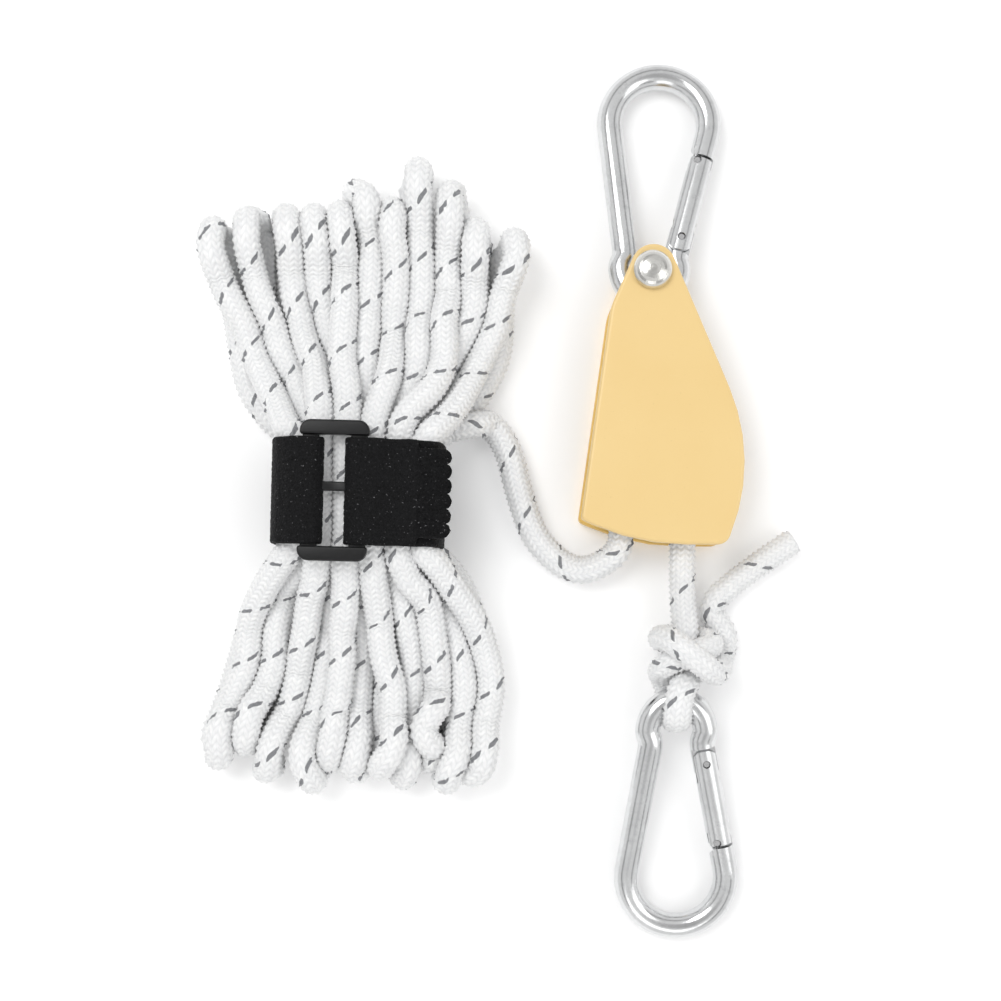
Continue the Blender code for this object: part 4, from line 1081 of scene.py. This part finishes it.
def plate_with(corners, z0, z1, r):
    """An upright-sided plate of this rectangular outline (anticlockwise, each corner with its own radius), its rims rounded by r."""
    def outline(inset):
        out = []
        for k in range(4):
            (b, radius), (a, _), (c, _) = corners[k], corners[k - 1], corners[(k + 1) % 4]
            a, b, c = np.array(a), np.array(b), np.array(c)
            u, w = (a - b) / np.linalg.norm(a - b), (c - b) / np.linalg.norm(c - b)
            size = max(radius - inset, 0.05)
            centre = b + (u + w) * (inset + size)
            for f in range(9):
                t = math.radians(90 * f / 8)
                out.append(centre - size * (w * math.cos(t) + u * math.sin(t)))
        return out

    levels = []
    for k in range(6):
        t = math.radians(90 * k / 5)
        levels.append((z0 + r * (1 - math.sin(t)), r * (1 - math.cos(t))))
    levels = levels[::-1] + [(z0 + z1 - z, inset) for z, inset in levels]
    bm = bmesh.new()
    rings = [[bm.verts.new((p[0], p[1], z)) for p in outline(inset)] for z, inset in levels]
    for low, high in zip(rings, rings[1:]):
        for k in range(len(low)):
            m = (k + 1) % len(low)
            bm.faces.new((low[k], low[m], high[m], high[k]))
    bm.faces.new(rings[0][::-1])
    bm.faces.new(rings[-1])
    bmesh.ops.recalc_face_normals(bm, faces=bm.faces)
    return bm


def buckle_piece():
    """A moulded rectangular buckle: two full end bars, two thinner bars that the strap turns over, and a middle bridge."""
    parts = []
    cx, cy = -75.9, 0.78
    for side in (1, -1):
        low, high = sorted((cy + side * 12.6, cy + side * 15.95))
        big, small = 2.5, 0.6
        corners = [((cx - 7.9, low), small if side == 1 else big), ((cx + 7.9, low), small if side == 1 else big), ((cx + 7.9, high), big if side == 1 else small), ((cx - 7.9, high), big if side == 1 else small)]
        parts.append(plate_with(corners, 26.7, 29.6, 0.55))
    for x in (cx - 5.5, cx + 5.5):
        parts.append(plate_with([((x - 1.9, cy - 13.6), 0.5), ((x + 1.9, cy - 13.6), 0.5), ((x + 1.9, cy + 13.6), 0.5), ((x - 1.9, cy + 13.6), 0.5)], 26.75, 28.2, 0.5))
    parts.append(plate_with([((cx - 5.0, cy - 0.05), 0.3), ((cx + 5.0, cy - 0.05), 0.3), ((cx + 5.0, cy + 2.1), 0.3), ((cx - 5.0, cy + 2.1), 0.3)], 26.8, 28.0, 0.45))
    made = None
    for bm in parts:
        mesh = bpy.data.meshes.new("p")
        bm.to_mesh(mesh)
        bm.free()
        o = bpy.data.objects.new("p", mesh)
        COLLECTION.objects.link(o)
        if made is None:
            made = o
        else:
            m = made.modifiers.new("u", "BOOLEAN")
            m.operation, m.solver, m.object = "UNION", "EXACT", o
            bpy.context.view_layer.update()
            graph = bpy.context.evaluated_depsgraph_get()
            mesh = bpy.data.meshes.new_from_object(made.evaluated_get(graph), depsgraph=graph)
            bpy.data.objects.remove(made, do_unlink=True)
            bpy.data.objects.remove(o, do_unlink=True)
            made = bpy.data.objects.new("p", mesh)
            COLLECTION.objects.link(made)
    mesh = made.data
    turn = Matrix.Translation((cx, cy, 0)) @ Matrix.Rotation(math.radians(-1.55), 4, "Z") @ Matrix.Translation((-cx, -cy, 0))
    mesh.transform(turn)
    mesh.transform(Matrix.Diagonal((MM, MM, MM, 1)))
    mesh.shade_smooth()
    mesh.set_sharp_from_angle(angle=math.radians(50))
    mesh.materials.clear()
    mesh.materials.append(moulding_finish())
    made.name = mesh.name = "buckle"
    return made


buckle = buckle_piece()
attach(buckle, "block")
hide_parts("strap_buckle")

# ---------------------------------------------------------------- floor
bm = bmesh.new()
bmesh.ops.create_grid(bm, x_segments=2, y_segments=2, size=1.6)
mesh = bpy.data.meshes.new("floor")
bm.to_mesh(mesh)
bm.free()
floor = bpy.data.objects.new("floor", mesh)
floor.location = (0, 0, -0.0001)
COLLECTION.objects.link(floor)
mesh.materials.append(floor_finish())

bpy.context.view_layer.update()
